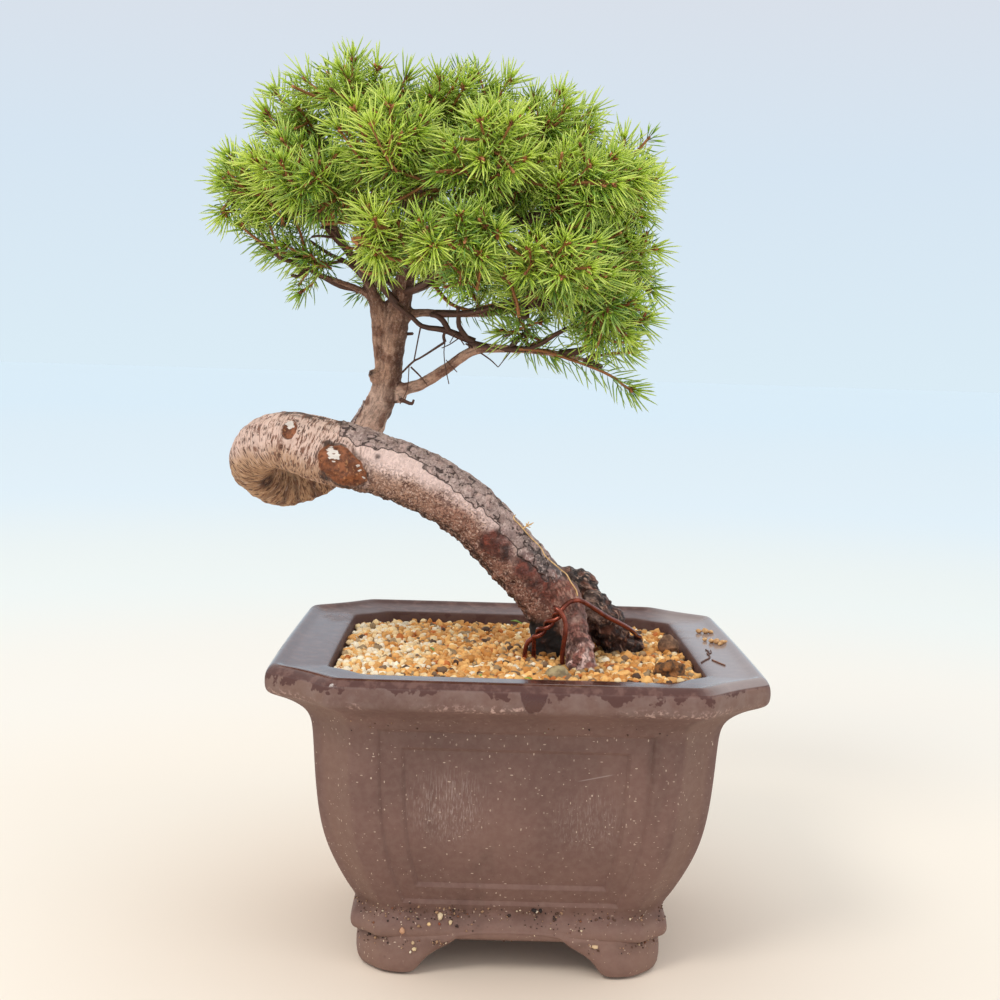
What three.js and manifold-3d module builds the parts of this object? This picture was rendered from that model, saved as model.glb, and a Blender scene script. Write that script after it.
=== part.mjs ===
// A white spruce bonsai standing in its footed stoneware pot. Millimetres, +Z up, front towards -Y.
// Everything is drawn about the middle of the pot on the table, and the finished group is moved so
// that its origin is the middle of its own footprint.
import * as THREE from 'three';
import { mergeVertices } from 'three/addons/utils/BufferGeometryUtils.js';
import Module from 'manifold-3d';

const wasm = await Module();
wasm.setup();

// Driving dimensions of the pot. Half sizes are along X, and the depth is a little less.
const potHalfWidth = 90;
const potDepthLoss = 4;
const footDepthLoss = 1.5;
const potHeight = 118.5;
const footHeight = 14.5;
const floorTop = 24;
const openingHalfWidth = 69.5;
const openingDepthLoss = 3.5;
const drainX = 30;
const drainRadius = 10;

// Driving dimensions of the planting.
const soilTop = 113;
const clearance = 0.35;
const wireRadius = 0.75;
const twistSpacing = 0.95;
const clipRadius = 0.5;
const screenSize = 25;
const screenThickness = 0.9;
const screenPitch = 5.5;
const screenHole = 3.8;

const bonsai = new THREE.Group();

// The finishes of the real pieces.
const finish = {
  stoneware: new THREE.MeshStandardMaterial({ color: 0x5d4a47, roughness: 0.6, metalness: 0 }),
  soil: new THREE.MeshStandardMaterial({ color: 0xc79a63, roughness: 0.95, metalness: 0 }),
  bark: new THREE.MeshStandardMaterial({ color: 0x9c7b6b, roughness: 0.85, metalness: 0 }),
  needles: new THREE.MeshStandardMaterial({ color: 0x6f9a35, roughness: 0.6, metalness: 0 }),
  copper: new THREE.MeshStandardMaterial({ color: 0x7a3626, roughness: 0.35, metalness: 0.9 }),
  plastic: new THREE.MeshStandardMaterial({ color: 0x2a2c2e, roughness: 0.7, metalness: 0 }),
  steel: new THREE.MeshStandardMaterial({ color: 0x8d9094, roughness: 0.4, metalness: 0.9 }),
  straw: new THREE.MeshStandardMaterial({ color: 0xb9924d, roughness: 0.9, metalness: 0 }),
  paleStone: new THREE.MeshStandardMaterial({ color: 0xb5ac86, roughness: 0.9, metalness: 0 }),
  brownStone: new THREE.MeshStandardMaterial({ color: 0x6a4c35, roughness: 0.9, metalness: 0 }),
};

// A closed mesh, with its shared corners merged, as a solid that can be cut and joined.
function solidFrom(geometry) {
  const bare = geometry.clone();
  bare.deleteAttribute('normal');
  bare.deleteAttribute('uv');
  const merged = mergeVertices(bare, 1e-4);
  return new wasm.Manifold(new wasm.Mesh({
    numProp: 3,
    vertProperties: new Float32Array(merged.attributes.position.array),
    triVerts: new Uint32Array(merged.index.array),
  }));
}

function geometryFrom(solid) {
  const mesh = solid.simplify(0.01).getMesh();
  const geometry = new THREE.BufferGeometry();
  geometry.setAttribute('position', new THREE.BufferAttribute(mesh.vertProperties.slice(), 3));
  geometry.setIndex(new THREE.BufferAttribute(mesh.triVerts.slice(), 1));
  geometry.computeVertexNormals();
  return geometry;
}

function addPiece(name, solid, material) {
  const mesh = new THREE.Mesh(geometryFrom(solid), material);
  mesh.name = name;
  bonsai.add(mesh);
}

// A closed skin over a stack of rings that all have the same number of corners.
function loft(rings) {
  const count = rings[0].length;
  const corners = rings.flat();
  const faces = [];
  for (let r = 0; r < rings.length - 1; r += 1) {
    for (let i = 0; i < count; i += 1) {
      const next = (i + 1) % count;
      const a = r * count + i;
      const b = r * count + next;
      faces.push(a, b, b + count, a, b + count, a + count);
    }
  }
  const middle = (ring) => ring.reduce((sum, p) => sum.add(p), new THREE.Vector3())
    .divideScalar(count);
  const bottom = corners.push(middle(rings[0])) - 1;
  const top = corners.push(middle(rings.at(-1))) - 1;
  const last = (rings.length - 1) * count;
  for (let i = 0; i < count; i += 1) {
    const next = (i + 1) % count;
    faces.push(bottom, next, i, top, last + i, last + next);
  }
  const geometry = new THREE.BufferGeometry().setFromPoints(corners);
  geometry.setIndex(faces);
  return solidFrom(geometry);
}

const routeCurve = (points) => new THREE.CatmullRomCurve3(
  points.map(([x, y, z]) => new THREE.Vector3(x, y, z)), false, 'centripetal');

// A tube through points [x, y, z, radius], swelling and tapering between them. It has the given
// number of rings for each stretch between two points, and grow makes it fatter and longer.
function tube(points, { sides = 8, rings: each = 2, grow = 0 } = {}) {
  const curve = routeCurve(points);
  const steps = (points.length - 1) * each;
  const across = new THREE.Vector3(0.31, 0.87, 0.38);
  const rings = [];
  for (let s = 0; s <= steps; s += 1) {
    const from = Math.min(Math.floor(s / each), points.length - 2);
    const radius = THREE.MathUtils.lerp(points[from][3], points[from + 1][3], s / each - from) + grow;
    const along = curve.getTangent(s / steps);
    const centre = curve.getPoint(s / steps);
    if (s === 0) centre.addScaledVector(along, -grow);
    if (s === steps) centre.addScaledVector(along, grow);
    across.addScaledVector(along, -across.dot(along)).normalize();
    const other = along.clone().cross(across);
    const ring = [];
    for (let i = 0; i < sides; i += 1) {
      const angle = (2 * Math.PI * i) / sides;
      ring.push(centre.clone()
        .addScaledVector(across, radius * Math.cos(angle))
        .addScaledVector(other, radius * Math.sin(angle)));
    }
    rings.push(ring);
  }
  return loft(rings);
}

function box(width, depth, height, x, y, z) {
  return solidFrom(new THREE.BoxGeometry(width, depth, height).translate(x, y, z));
}

const joined = (solids) => wasm.Manifold.union(solids);

// One level of the pot: a rectangle with cut corners. The sides bow out a little and the cuts
// are slightly hollow.
function potRing(halfWidth, depthLoss, cutX, cutY, z, bow = 0.008, hollow = 0.06) {
  const halfDepth = halfWidth - depthLoss;
  const sideX = halfWidth - cutX;
  const sideY = halfDepth - cutY;
  const ring = [];
  const quarter = [[1, 1], [-1, 1], [-1, -1], [1, -1]];
  quarter.forEach(([signX, signY], q) => {
    const lengthwise = [sideX * signX, halfDepth * signY];
    const crosswise = [halfWidth * signX, sideY * signY];
    const middle = [
      (lengthwise[0] + crosswise[0]) / 2 - hollow * cutX * signX,
      (lengthwise[1] + crosswise[1]) / 2 - hollow * cutX * signY,
    ];
    const ends = q % 2 ? [lengthwise, crosswise] : [crosswise, lengthwise];
    ring.push(ends[0], middle, ends[1]);
    if (q % 2) ring.push([halfWidth * signX * (1 + bow), 0]);
    else ring.push([0, halfDepth * signY * (1 + bow)]);
  });
  return ring.map(([x, y]) => new THREE.Vector3(x, y, z));
}

// The pot's outside from the plinth to the crest: [height, half width, corner cut].
const potProfile = [
  [14.5, 57, 10], [16.2, 59.2, 10], [18.5, 60.2, 10.5], [21, 59.8, 10.5], [23, 58.3, 10.5],
  [26, 58.6, 10.5], [33, 62.2, 11.5], [41, 66, 12.5], [50, 69.6, 13.3], [61, 72.2, 14],
  [72, 73.6, 14.3], [88, 74.4, 14.5], [97, 75.2, 15], [102, 78, 17.5], [106, 83.5, 21.5],
  [108.3, 88.6, 25], [113.5, 90, 26], [116.8, 89.4, 26], [118.5, 87.4, 25.5],
];
// The inside from the floor up to the opening.
const hollowProfile = [
  [floorTop, 47.5, 9], [33, 54.5, 10], [41, 58.6, 11], [61, 64.8, 12.5], [88, 67.2, 13],
  [108, 68.6, 13.2], [116.9, openingHalfWidth, 13.4], [potHeight + 2, openingHalfWidth, 13.4],
];
const ringsOf = (profile, inset, depthLoss) => profile.map(([z, halfWidth, cut]) =>
  potRing(halfWidth - inset, depthLoss, cut, cut * 0.85, z));

// A panel's outline as a tapering block that runs through one pair of walls.
function panelBlock(topHalf, topZ, bottomHalf, bottomZ, alongX) {
  const outline = new THREE.Shape([
    new THREE.Vector2(-bottomHalf, bottomZ), new THREE.Vector2(bottomHalf, bottomZ),
    new THREE.Vector2(topHalf, topZ), new THREE.Vector2(-topHalf, topZ),
  ]);
  const reach = 2 * potHalfWidth;
  const block = new THREE.ExtrudeGeometry(outline, { depth: reach, bevelEnabled: false })
    .translate(0, 0, -reach / 2).rotateX(Math.PI / 2);
  if (alongX) block.rotateZ(Math.PI / 2);
  return solidFrom(block);
}

// The opening between two feet: flat under the plinth, with a stepped scroll at each side.
function footArch(alongX) {
  const half = [[19, footHeight], [25, 12.6], [30, 9], [32.5, 5.4], [34, 2], [36.5, -1]];
  const left = half.map(([x, z]) => new THREE.Vector2(-x, z));
  const right = half.map(([x, z]) => new THREE.Vector2(x, z)).reverse();
  const reach = 2 * potHalfWidth;
  const arch = new THREE.ExtrudeGeometry(new THREE.Shape([...right, ...left]),
    { depth: reach, bevelEnabled: false }).translate(0, 0, -reach / 2).rotateX(Math.PI / 2);
  if (alongX) arch.rotateZ(Math.PI / 2);
  return solidFrom(arch);
}

function makePot() {
  const outside = loft(ringsOf(potProfile, 0, potDepthLoss));
  const inside = loft(hollowProfile.map(([z, halfWidth, cut]) =>
    potRing(halfWidth, openingDepthLoss, cut, cut, z)));
  // The rim's flat top falls from the crest towards the opening.
  const rimTop = loft([[116.8, openingHalfWidth + 0.5, 14], [117.6, 84, 24.5], [118.8, 86, 25]]
    .map(([z, halfWidth, cut]) => potRing(halfWidth, potDepthLoss, cut, cut * 0.85, z)));
  const steps = [
    { depth: 1.1, top: 49.5, topZ: 97, bottom: 42, bottomZ: 30 },
    { depth: 2.3, top: 41, topZ: 89, bottom: 35.5, bottomZ: 35 },
  ];
  const recesses = steps.flatMap(({ depth, top, topZ, bottom, bottomZ }) => {
    const core = loft(ringsOf(potProfile, depth, potDepthLoss));
    return [false, true].map((alongX) => panelBlock(top, topZ, bottom, bottomZ, alongX)
      .subtract(core));
  });
  const footProfile = [[0, 56, 9], [1.5, 58, 10], [6, 58.6, 10], [11, 57.4, 10], [footHeight + 1, 57, 10]];
  const footInside = [[-1, 45.5, 4], [footHeight, 45.5, 4]].map(([z, halfWidth, cut]) =>
    potRing(halfWidth, potDepthLoss, cut, cut, z));
  const feet = loft(ringsOf(footProfile, 0, footDepthLoss))
    .subtract(loft(footInside)).subtract(footArch(false)).subtract(footArch(true));
  const drains = [-drainX, drainX].map((x) => solidFrom(
    new THREE.CylinderGeometry(drainRadius, drainRadius, 30, 20).rotateX(Math.PI / 2)
      .translate(x, 0, floorTop - 5)));
  return joined([outside, feet]).subtract(joined([inside, rimTop, ...recesses, ...drains]));
}
const pot = makePot();
addPiece('pot', pot, finish.stoneware);

// The woody part of the tree. Each run is a route by hand: [x, y, z, radius].
const trunkRoute = [
  [27, -10, 96, 17], [24, -9, 109, 17], [19.5, -6, 126, 16], [11, -4, 141, 13.2],
  [-6, -6, 157.4, 12], [-21.5, -9, 172.5, 11.8], [-43.6, -11, 183.8, 11.8],
  [-57, -11, 188.2, 12], [-75, -10, 192, 13], [-92, -7, 196, 11.8], [-104, 2, 193, 10.6],
  [-109.5, 15, 183.5, 9], [-99, 27, 174.5, 8], [-82, 31, 180, 7.6], [-68.5, 31, 192, 7],
  [-61.5, 29, 206, 6.4], [-56.5, 26, 217, 5.7], [-54.5, 24, 228, 5.2],
];
const stemRoute = [
  [-56.5, 26, 217, 5.7], [-54.5, 24, 228, 5.2], [-53, 21, 240, 5], [-50, 15, 256, 4.4],
  [-46, 8, 275, 3.6], [-42, 3, 295, 2.8], [-39, 0, 314, 2],
];
const limbs = {
  stem: stemRoute,
  twin: [[-60, 23, 226, 2.2], [-62, 21, 240, 2.3], [-64, 17, 256, 2.2], [-72, 12, 272, 1.8],
    [-82, 6, 290, 1.3]],
  rightLow: [[-57, 26, 214, 3.6], [-51, 24, 216.5, 2.7], [-42, 20, 219.5, 2.3], [-33, 15, 225, 2.2],
    [-20, 7, 234, 2], [-9, 2, 235, 1.8], [14, -4, 233.5, 1.5], [26, -6, 231, 1.1]],
  rightMid: [[-52, 20, 243, 3], [-46, 18, 248, 2], [-32, 12, 248.5, 1.7], [-14, 4, 249, 1.5],
    [-2, -2, 252.5, 1.2]],
  leftLow: [[-60, 20, 252, 2.4], [-67, 14, 257, 1.9], [-82, 6, 262, 1.6], [-97, 0, 268, 1.2]],
};

// Roots: three that show above the soil and five that hold the tree down in it.
const rootRoutes = [
  [[20, -9, 134, 8], [21, -19, 122, 6.6], [23.5, -30, 111, 6.2], [26, -38, 98, 3]],
  [[26, 0, 128, 9], [38, 4, 124, 10], [47, 10, 115, 9], [56, 20, 100, 4]],
  [[12, -4, 128, 8], [8, -2, 118, 6], [3, 2, 108, 4.5], [-4, 6, 96, 2.5]],
  [[26, -8, 104, 9], [16, -16, 86, 5], [2, -24, 68, 2.5]],
  [[28, -6, 104, 9], [42, -14, 88, 5], [50, -26, 66, 2.2]],
  [[28, 0, 104, 9], [34, 18, 88, 5], [36, 36, 66, 2.2]],
  [[24, 0, 104, 9], [6, 18, 86, 5], [-12, 30, 66, 2.2]],
  [[28, -6, 104, 9], [30, -6, 84, 5], [26, 4, 58, 2]],
];

// The foliage masses: centre, half sizes, the limb that carries each, and how far along it.
const foliage = [
  [-88, -28, 299, 23, 22, 18, 'twin', 0.8], [-54, -40, 311, 24, 22, 19, 'stem', 0.72],
  [-15, -42, 308, 25, 22, 19, 'stem', 0.74], [22, -34, 297, 24, 22, 19, 'stem', 0.66],
  [-63, -36, 276, 22, 20, 16, 'twin', 0.6], [-27, -44, 274, 24, 22, 17, 'stem', 0.5],
  [11, -41, 266, 25, 22, 18, 'rightMid', 0.8], [34, -25, 249, 18, 19, 17, 'rightLow', 0.86],
  [-110, -3, 295, 16, 23, 20, 'twin', 0.95], [-96, 3, 325, 16, 22, 16, 'twin', 0.98],
  [-68, -5, 334, 21, 24, 16, 'stem', 0.9], [-30, -4, 331, 23, 26, 14, 'stem', 0.97],
  [8, -2, 323, 23, 26, 16, 'stem', 0.86], [37, 2, 302, 18, 25, 21, 'stem', 0.7],
  [40, 6, 270, 16, 23, 17, 'rightMid', 0.98], [-94, 6, 272, 15, 18, 11, 'leftLow', 0.85],
  [31, -4, 229, 16, 18, 12, 'rightLow', 0.98], [2, 2, 243, 18, 21, 11, 'rightLow', 0.74],
  [-86, 33, 303, 23, 21, 19, 'twin', 0.85], [-50, 42, 312, 24, 21, 19, 'stem', 0.74],
  [-11, 43, 308, 25, 21, 19, 'stem', 0.76], [24, 36, 293, 23, 21, 19, 'stem', 0.62],
  [-62, 37, 276, 21, 20, 15, 'stem', 0.52], [-25, 44, 274, 23, 21, 17, 'stem', 0.5],
  [13, 39, 264, 22, 21, 17, 'rightMid', 0.85],
];

// The side limb that leaves its parent and rises into the middle of one foliage mass.
function sideLimb([x, y, z, , , , parent, along]) {
  const start = routeCurve(limbs[parent]).getPoint(along);
  const end = new THREE.Vector3(x, y, z);
  const reach = start.distanceTo(end);
  const bend = start.clone().lerp(end, 0.5);
  bend.z += THREE.MathUtils.clamp((start.z - z) * 0.25, -0.12 * reach, 0.12 * reach);
  return [
    [start.x, start.y, start.z, 1.7], [bend.x, bend.y, bend.z, 1.3],
    [end.x, end.y, end.z, 0.9],
  ];
}

function makeWood(grow) {
  const thick = { sides: 12, rings: 1, grow };
  const middling = { sides: 7, rings: 1, grow };
  const thin = { sides: 5, rings: 1, grow };
  return joined([
    tube(trunkRoute, thick),
    ...Object.values(limbs).map((route) => tube(route, middling)),
    ...rootRoutes.map((route) => tube(route, middling)),
    ...foliage.map((mass) => tube(sideLimb(mass), thin)),
  ]);
}

// The anchor wire, one length with both ends twisted together in front of the roots. From the twist
// one side runs over the roots and down, through the right drain hole, along under the floor, up
// through the left drain hole and the soil, and over the front root to the twist again.
const twistTop = new THREE.Vector3(16.6, -27.5, 134.6);
const twistFoot = new THREE.Vector3(6.6, -18.5, 121);
const twistTurns = 3;
function twistStrand(phase) {
  const axis = twistFoot.clone().sub(twistTop);
  const side = new THREE.Vector3(0, 0, 1).cross(axis).normalize();
  const rise = axis.clone().cross(side).normalize();
  const points = [];
  const count = twistTurns * 6;
  for (let i = 0; i <= count; i += 1) {
    const angle = phase + (2 * Math.PI * twistTurns * i) / count;
    const p = twistTop.clone().addScaledVector(axis, i / count)
      .addScaledVector(side, twistSpacing * Math.cos(angle))
      .addScaledVector(rise, twistSpacing * Math.sin(angle));
    points.push([p.x, p.y, p.z, wireRadius]);
  }
  return points;
}
const underFloor = 12.2;
const wireY = -screenPitch / 2;
const hiddenRun = [
  [54.4, 18.5, 113], [53, 16, 100], [46, 8, 74], [38, 0, 50], [drainX + screenPitch / 2, wireY, 34],
  [drainX + screenPitch / 2, wireY, 18], [drainX, wireY, underFloor], [0, wireY, underFloor],
  [-drainX + screenPitch, wireY, underFloor], [-drainX + screenPitch / 2, wireY, 18],
  [-drainX + screenPitch / 2, wireY, 34], [-22, -8, 60], [-6, -20, 84], [10, -24, 100],
  [18.5, -24, 113],
].map((p) => [...p, wireRadius]);
const overRoots = [
  [20.5, -27, 138], [24.5, -24, 137.4], [29, -20, 134.6], [34, -16, 131.4], [41, -8, 127],
  [48.5, 3, 121.4], [52.6, 12, 117.4],
].map((p) => [...p, wireRadius]);
const overFront = [
  [19, -29.6, 121], [18.4, -31, 127], [17.4, -31, 132], [14.6, -29.6, 136.4],
].map((p) => [...p, wireRadius]);
const tailRight = [[6.8, -12, 117], [7.4, -9, 110]].map((p) => [...p, wireRadius]);
const tailLeft = [[4.4, -13, 117], [3.2, -9, 110]].map((p) => [...p, wireRadius]);
function makeWire(grow) {
  const rightStrand = twistStrand(0);
  const leftStrand = twistStrand(Math.PI);
  const route = [
    ...tailLeft.toReversed(), ...rightStrand.toReversed(), ...overRoots, ...hiddenRun,
    ...overFront, ...leftStrand, ...tailRight,
  ];
  return tube(route, { sides: 6, rings: 1, grow });
}

const straw = [
  [-3, -11.5, 170.6], [1.6, -10, 167.6], [5, -11.2, 163], [10.6, -10.8, 158.4], [15, -11.4, 153.4],
  [19.6, -10.8, 149.6], [22.6, -10.5, 146.6], [25, -12.6, 142], [25.4, -14.8, 139.4],
].map((p) => [...p, 0.55]);
const makeStraw = (grow) => tube(straw, { sides: 5, rings: 1, grow });

const wire = makeWire(0);
const wireRoom = makeWire(clearance);
const woodRoom = makeWood(clearance);
const wood = makeWood(0).subtract(wireRoom).subtract(makeStraw(clearance));
addPiece('tree_wood', wood, finish.bark);
addPiece('anchor_wire', wire, finish.copper);
addPiece('straw_fibre', makeStraw(0), finish.straw);

// Two plastic screens over the drain holes, each held by a clip of bent wire.
function makeScreen(x) {
  const middle = floorTop + clearance + screenThickness / 2;
  const holes = [];
  for (let i = 0; i < 4; i += 1) {
    for (let j = 0; j < 4; j += 1) {
      holes.push(box(screenHole, screenHole, 3, x + (i - 1.5) * screenPitch,
        (j - 1.5) * screenPitch, middle));
    }
  }
  return box(screenSize, screenSize, screenThickness, x, 0, middle).subtract(joined(holes));
}
function makeClip(x) {
  const leg = 1.5 * screenPitch;
  const over = floorTop + clearance + screenThickness + clearance + clipRadius;
  const under = footHeight - clearance - clipRadius;
  const side = [[leg + 7, under], [leg + 1.2, under], [leg, under + 1.4], [leg, over - 1.2],
    [leg - 1.4, over]];
  const route = [...side, ...side.toReversed().map(([reach, z]) => [-reach, z])];
  return tube(route.map(([reach, z]) => [x + reach, screenPitch / 2, z, clipRadius]),
    { sides: 6, rings: 1 });
}
[['left', -drainX], ['right', drainX]].forEach(([side, x]) => {
  addPiece(`drain_screen_${side}`, makeScreen(x), finish.plastic);
  addPiece(`screen_clip_${side}`, makeClip(x), finish.steel);
});

// The soil fills the pot to just below the rim, round the roots, the wire, the screens and clips.
function makeSoil() {
  const levels = hollowProfile.filter(([z]) => z < 110).concat([[soilTop, 69, 13.3]]);
  const rings = levels.map(([z, halfWidth, cut], i) =>
    potRing(halfWidth - clearance, openingDepthLoss, cut, cut, i ? z : z + clearance));
  const pockets = [-drainX, drainX].map((x) =>
    box(screenSize + 0.8, screenSize + 0.8, 8, x, 0, floorTop));
  return loft(rings).subtract(joined([woodRoom, wireRoom, ...pockets]));
}
addPiece('soil_bed', makeSoil(), finish.soil);

// Loose things lying on the soil and on the rim: a lump with a flat underside.
function lump(x, y, restZ, halfWidth, halfDepth, height, turn) {
  const shape = new THREE.IcosahedronGeometry(1, 1).scale(halfWidth, halfDepth, height * 0.6)
    .rotateZ(turn).translate(x, y, restZ + height * 0.4);
  return solidFrom(shape).trimByPlane([0, 0, 1], restZ);
}
const onSoil = soilTop + 0.3;
addPiece('pale_stone', lump(15, -49, onSoil, 4.2, 3.6, 5, 0.3), finish.paleStone);
addPiece('brown_stone', lump(64, 8, onSoil, 3.4, 3.2, 5, 0.8), finish.brownStone);
addPiece('dark_clod', lump(57, -45, onSoil, 4.6, 4, 5, 1.2), finish.brownStone);
// The rim's top rises from the opening to the crest, and these lie on it.
const rimAt = (x) => 117.0 + ((Math.abs(x) - openingHalfWidth) / 14.5) * 0.6 + 0.35;
[[83, 29, 1.5], [80, 10, 1.6], [83, 5, 1.3]].forEach(([x, y, size], i) => {
  addPiece(`rim_grain_${i + 1}`, lump(x, y, rimAt(x + size), size, size * 0.9, size * 1.5, i), finish.soil);
});
const rimTwig = [[76.6, -6], [75.6, -16], [74.6, -24], [72.6, -32]]
  .map(([x, y]) => [x, y, rimAt(x) + 0.75, 0.6]);
const rimNeedle = [[74.6, -36], [76, -39], [78.2, -43]].map(([x, y]) => [x, y, rimAt(x) + 0.6, 0.45]);
addPiece('rim_twig', tube(rimTwig, { sides: 5, rings: 1 }), finish.bark);
addPiece('fallen_needle', tube(rimNeedle, { sides: 5, rings: 1 }), finish.straw);

// Each foliage mass is an ellipsoid, cut back where it meets its neighbours and round the limbs.
function makeFoliage() {
  const masses = foliage.map(([x, y, z, sizeX, sizeY, sizeZ]) => ({
    centre: new THREE.Vector3(x, y, z),
    size: new THREE.Vector3(sizeX, sizeY, sizeZ),
  }));
  const reachOf = (mass, towards) => mass.size.clone().multiply(towards).length();
  return masses.map((mass, i) => {
    const shape = new THREE.IcosahedronGeometry(1.05, 1).rotateZ(i)
      .scale(...mass.size).translate(...mass.centre);
    let solid = solidFrom(shape);
    masses.forEach((other, j) => {
      if (j === i) return;
      const towards = other.centre.clone().sub(mass.centre);
      const distance = towards.length();
      towards.normalize();
      const own = reachOf(mass, towards);
      const theirs = reachOf(other, towards);
      if (own + theirs + 1 < distance) return;
      const wall = towards.dot(mass.centre) + (distance * own) / (own + theirs);
      solid = solid.trimByPlane(towards.clone().negate().toArray(), -(wall - 0.3));
    });
    const bodies = solid.subtract(woodRoom).decompose();
    return bodies.sort((a, b) => b.volume() - a.volume())[0];
  });
}
makeFoliage().forEach((solid, i) => {
  addPiece(`foliage_${String(i + 1).padStart(2, '0')}`, solid, finish.needles);
});

const extent = new THREE.Box3().setFromObject(bonsai);
bonsai.position.set(-(extent.min.x + extent.max.x) / 2, -(extent.min.y + extent.max.y) / 2, -extent.min.z);

export default bonsai;
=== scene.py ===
import math
import random

import bmesh
import bpy
import numpy as np
from mathutils import Matrix, Vector, noise
from mathutils.bvhtree import BVHTree


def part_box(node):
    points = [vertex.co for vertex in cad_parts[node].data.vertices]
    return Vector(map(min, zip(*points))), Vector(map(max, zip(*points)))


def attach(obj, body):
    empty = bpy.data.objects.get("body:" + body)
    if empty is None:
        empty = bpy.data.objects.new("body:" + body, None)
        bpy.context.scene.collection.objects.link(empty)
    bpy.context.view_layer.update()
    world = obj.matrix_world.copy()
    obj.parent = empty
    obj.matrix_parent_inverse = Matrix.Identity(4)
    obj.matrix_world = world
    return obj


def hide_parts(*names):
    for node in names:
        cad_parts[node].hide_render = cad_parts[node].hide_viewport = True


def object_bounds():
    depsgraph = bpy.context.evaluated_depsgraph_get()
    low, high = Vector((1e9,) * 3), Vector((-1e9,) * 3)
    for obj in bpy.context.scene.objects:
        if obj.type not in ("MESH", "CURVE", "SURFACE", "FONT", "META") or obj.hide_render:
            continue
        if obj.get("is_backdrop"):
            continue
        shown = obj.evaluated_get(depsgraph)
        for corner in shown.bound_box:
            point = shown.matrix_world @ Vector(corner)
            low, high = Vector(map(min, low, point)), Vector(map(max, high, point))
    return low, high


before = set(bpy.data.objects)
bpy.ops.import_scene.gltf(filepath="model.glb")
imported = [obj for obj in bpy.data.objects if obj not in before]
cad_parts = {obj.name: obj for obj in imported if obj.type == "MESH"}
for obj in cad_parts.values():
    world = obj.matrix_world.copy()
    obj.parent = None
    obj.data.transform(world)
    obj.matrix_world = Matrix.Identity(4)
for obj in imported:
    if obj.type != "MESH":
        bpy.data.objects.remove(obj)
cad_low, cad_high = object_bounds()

# The camera stands level with the foot of the crown, a little over half a metre in front of the
# pot, and looks slightly down at it. Every place below is given in millimetres from the middle
# of the pot's footprint.
pot_low, pot_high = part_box("pot")
pot_x = (pot_low.x + pot_high.x) / 2
pot_y = (pot_low.y + pot_high.y) / 2


def place(x, y, z):
    """A point in millimetres from the pot's middle, as the frame's metres."""
    return Vector((pot_x + x / 1000, pot_y + y / 1000, z / 1000))


camera_yaw, camera_pitch, camera_roll = (math.radians(angle) for angle in (0.81, 5.29, 1.8))
picture_width = 1000
focal_pixels = 1418
view_ahead = Vector((
    math.sin(camera_yaw) * math.cos(camera_pitch),
    math.cos(camera_yaw) * math.cos(camera_pitch),
    -math.sin(camera_pitch),
))
level_right = Vector((math.cos(camera_yaw), -math.sin(camera_yaw), 0))
level_up = level_right.cross(view_ahead)
view_right = level_right * math.cos(camera_roll) + level_up * math.sin(camera_roll)
view_up = level_up * math.cos(camera_roll) - level_right * math.sin(camera_roll)
camera_place = place(-15.8, -567.8, 227)
camera = bpy.data.objects.new("camera", bpy.data.cameras.new("camera"))
bpy.context.scene.collection.objects.link(camera)
camera_turn = Matrix((view_right, view_up, -view_ahead)).transposed().to_4x4()
camera.matrix_world = Matrix.Translation(camera_place) @ camera_turn
camera.data.sensor_width = 36
camera.data.lens = camera.data.sensor_width * focal_pixels / picture_width
bpy.context.scene.camera = camera
bpy.context.scene.view_settings.view_transform = "Standard"

# The pot is one piece of press-moulded stoneware: cut corners, a heavy flared rim, two stepped
# panels sunk in each side, and four bracket feet under a rounded plinth. The wall is pulled up
# level by level from the underside, over the rim and down to the floor inside.
arris = 1.1
side_shares = (0.69, 0.835)
side_bow = 0.008
corner_hollow = 0.06
outside_levels = [
    (13.4, 57, 10), (14.4, 59.6, 10), (17.2, 60.6, 10.5), (20.4, 59.9, 10.5), (22.8, 58.1, 10.5),
    (25, 58, 10.5), (27.8, 59.3, 11), (34.8, 63.1, 11.7), (41, 66, 12.5), (50, 69.6, 13.3),
    (61, 72.2, 14), (75, 73.7, 14.3), (90.8, 74.6, 14.6), (97.8, 75.3, 15.2), (102, 78, 17.5),
    (106, 84.3, 21), (107.8, 89.6, 24), (109.6, 91.5, 24.4), (114.6, 91.6, 24.4), (117.4, 90.6, 24.2),
    (118.9, 88.6, 23.8),
]
rim_levels = [
    (118.6, 86.8, 23.5), (117.4, 85.2, 23.2), (117, 83, 22.6), (116.6, 71, 15.2),
    (116.2, 69.9, 13.6),
]
inside_levels = [
    (115, 69.4, 13.4), (108, 68.6, 13.2), (88, 67.2, 13), (61, 64.8, 12.5), (41, 58.6, 11),
    (33, 54.5, 10), (26, 49.5, 9), (24.2, 47.5, 9), (24, 45, 9),
]
outside_depth_loss = 4
inside_depth_loss = 3.5
corner_lengthwise = 0.85


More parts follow.
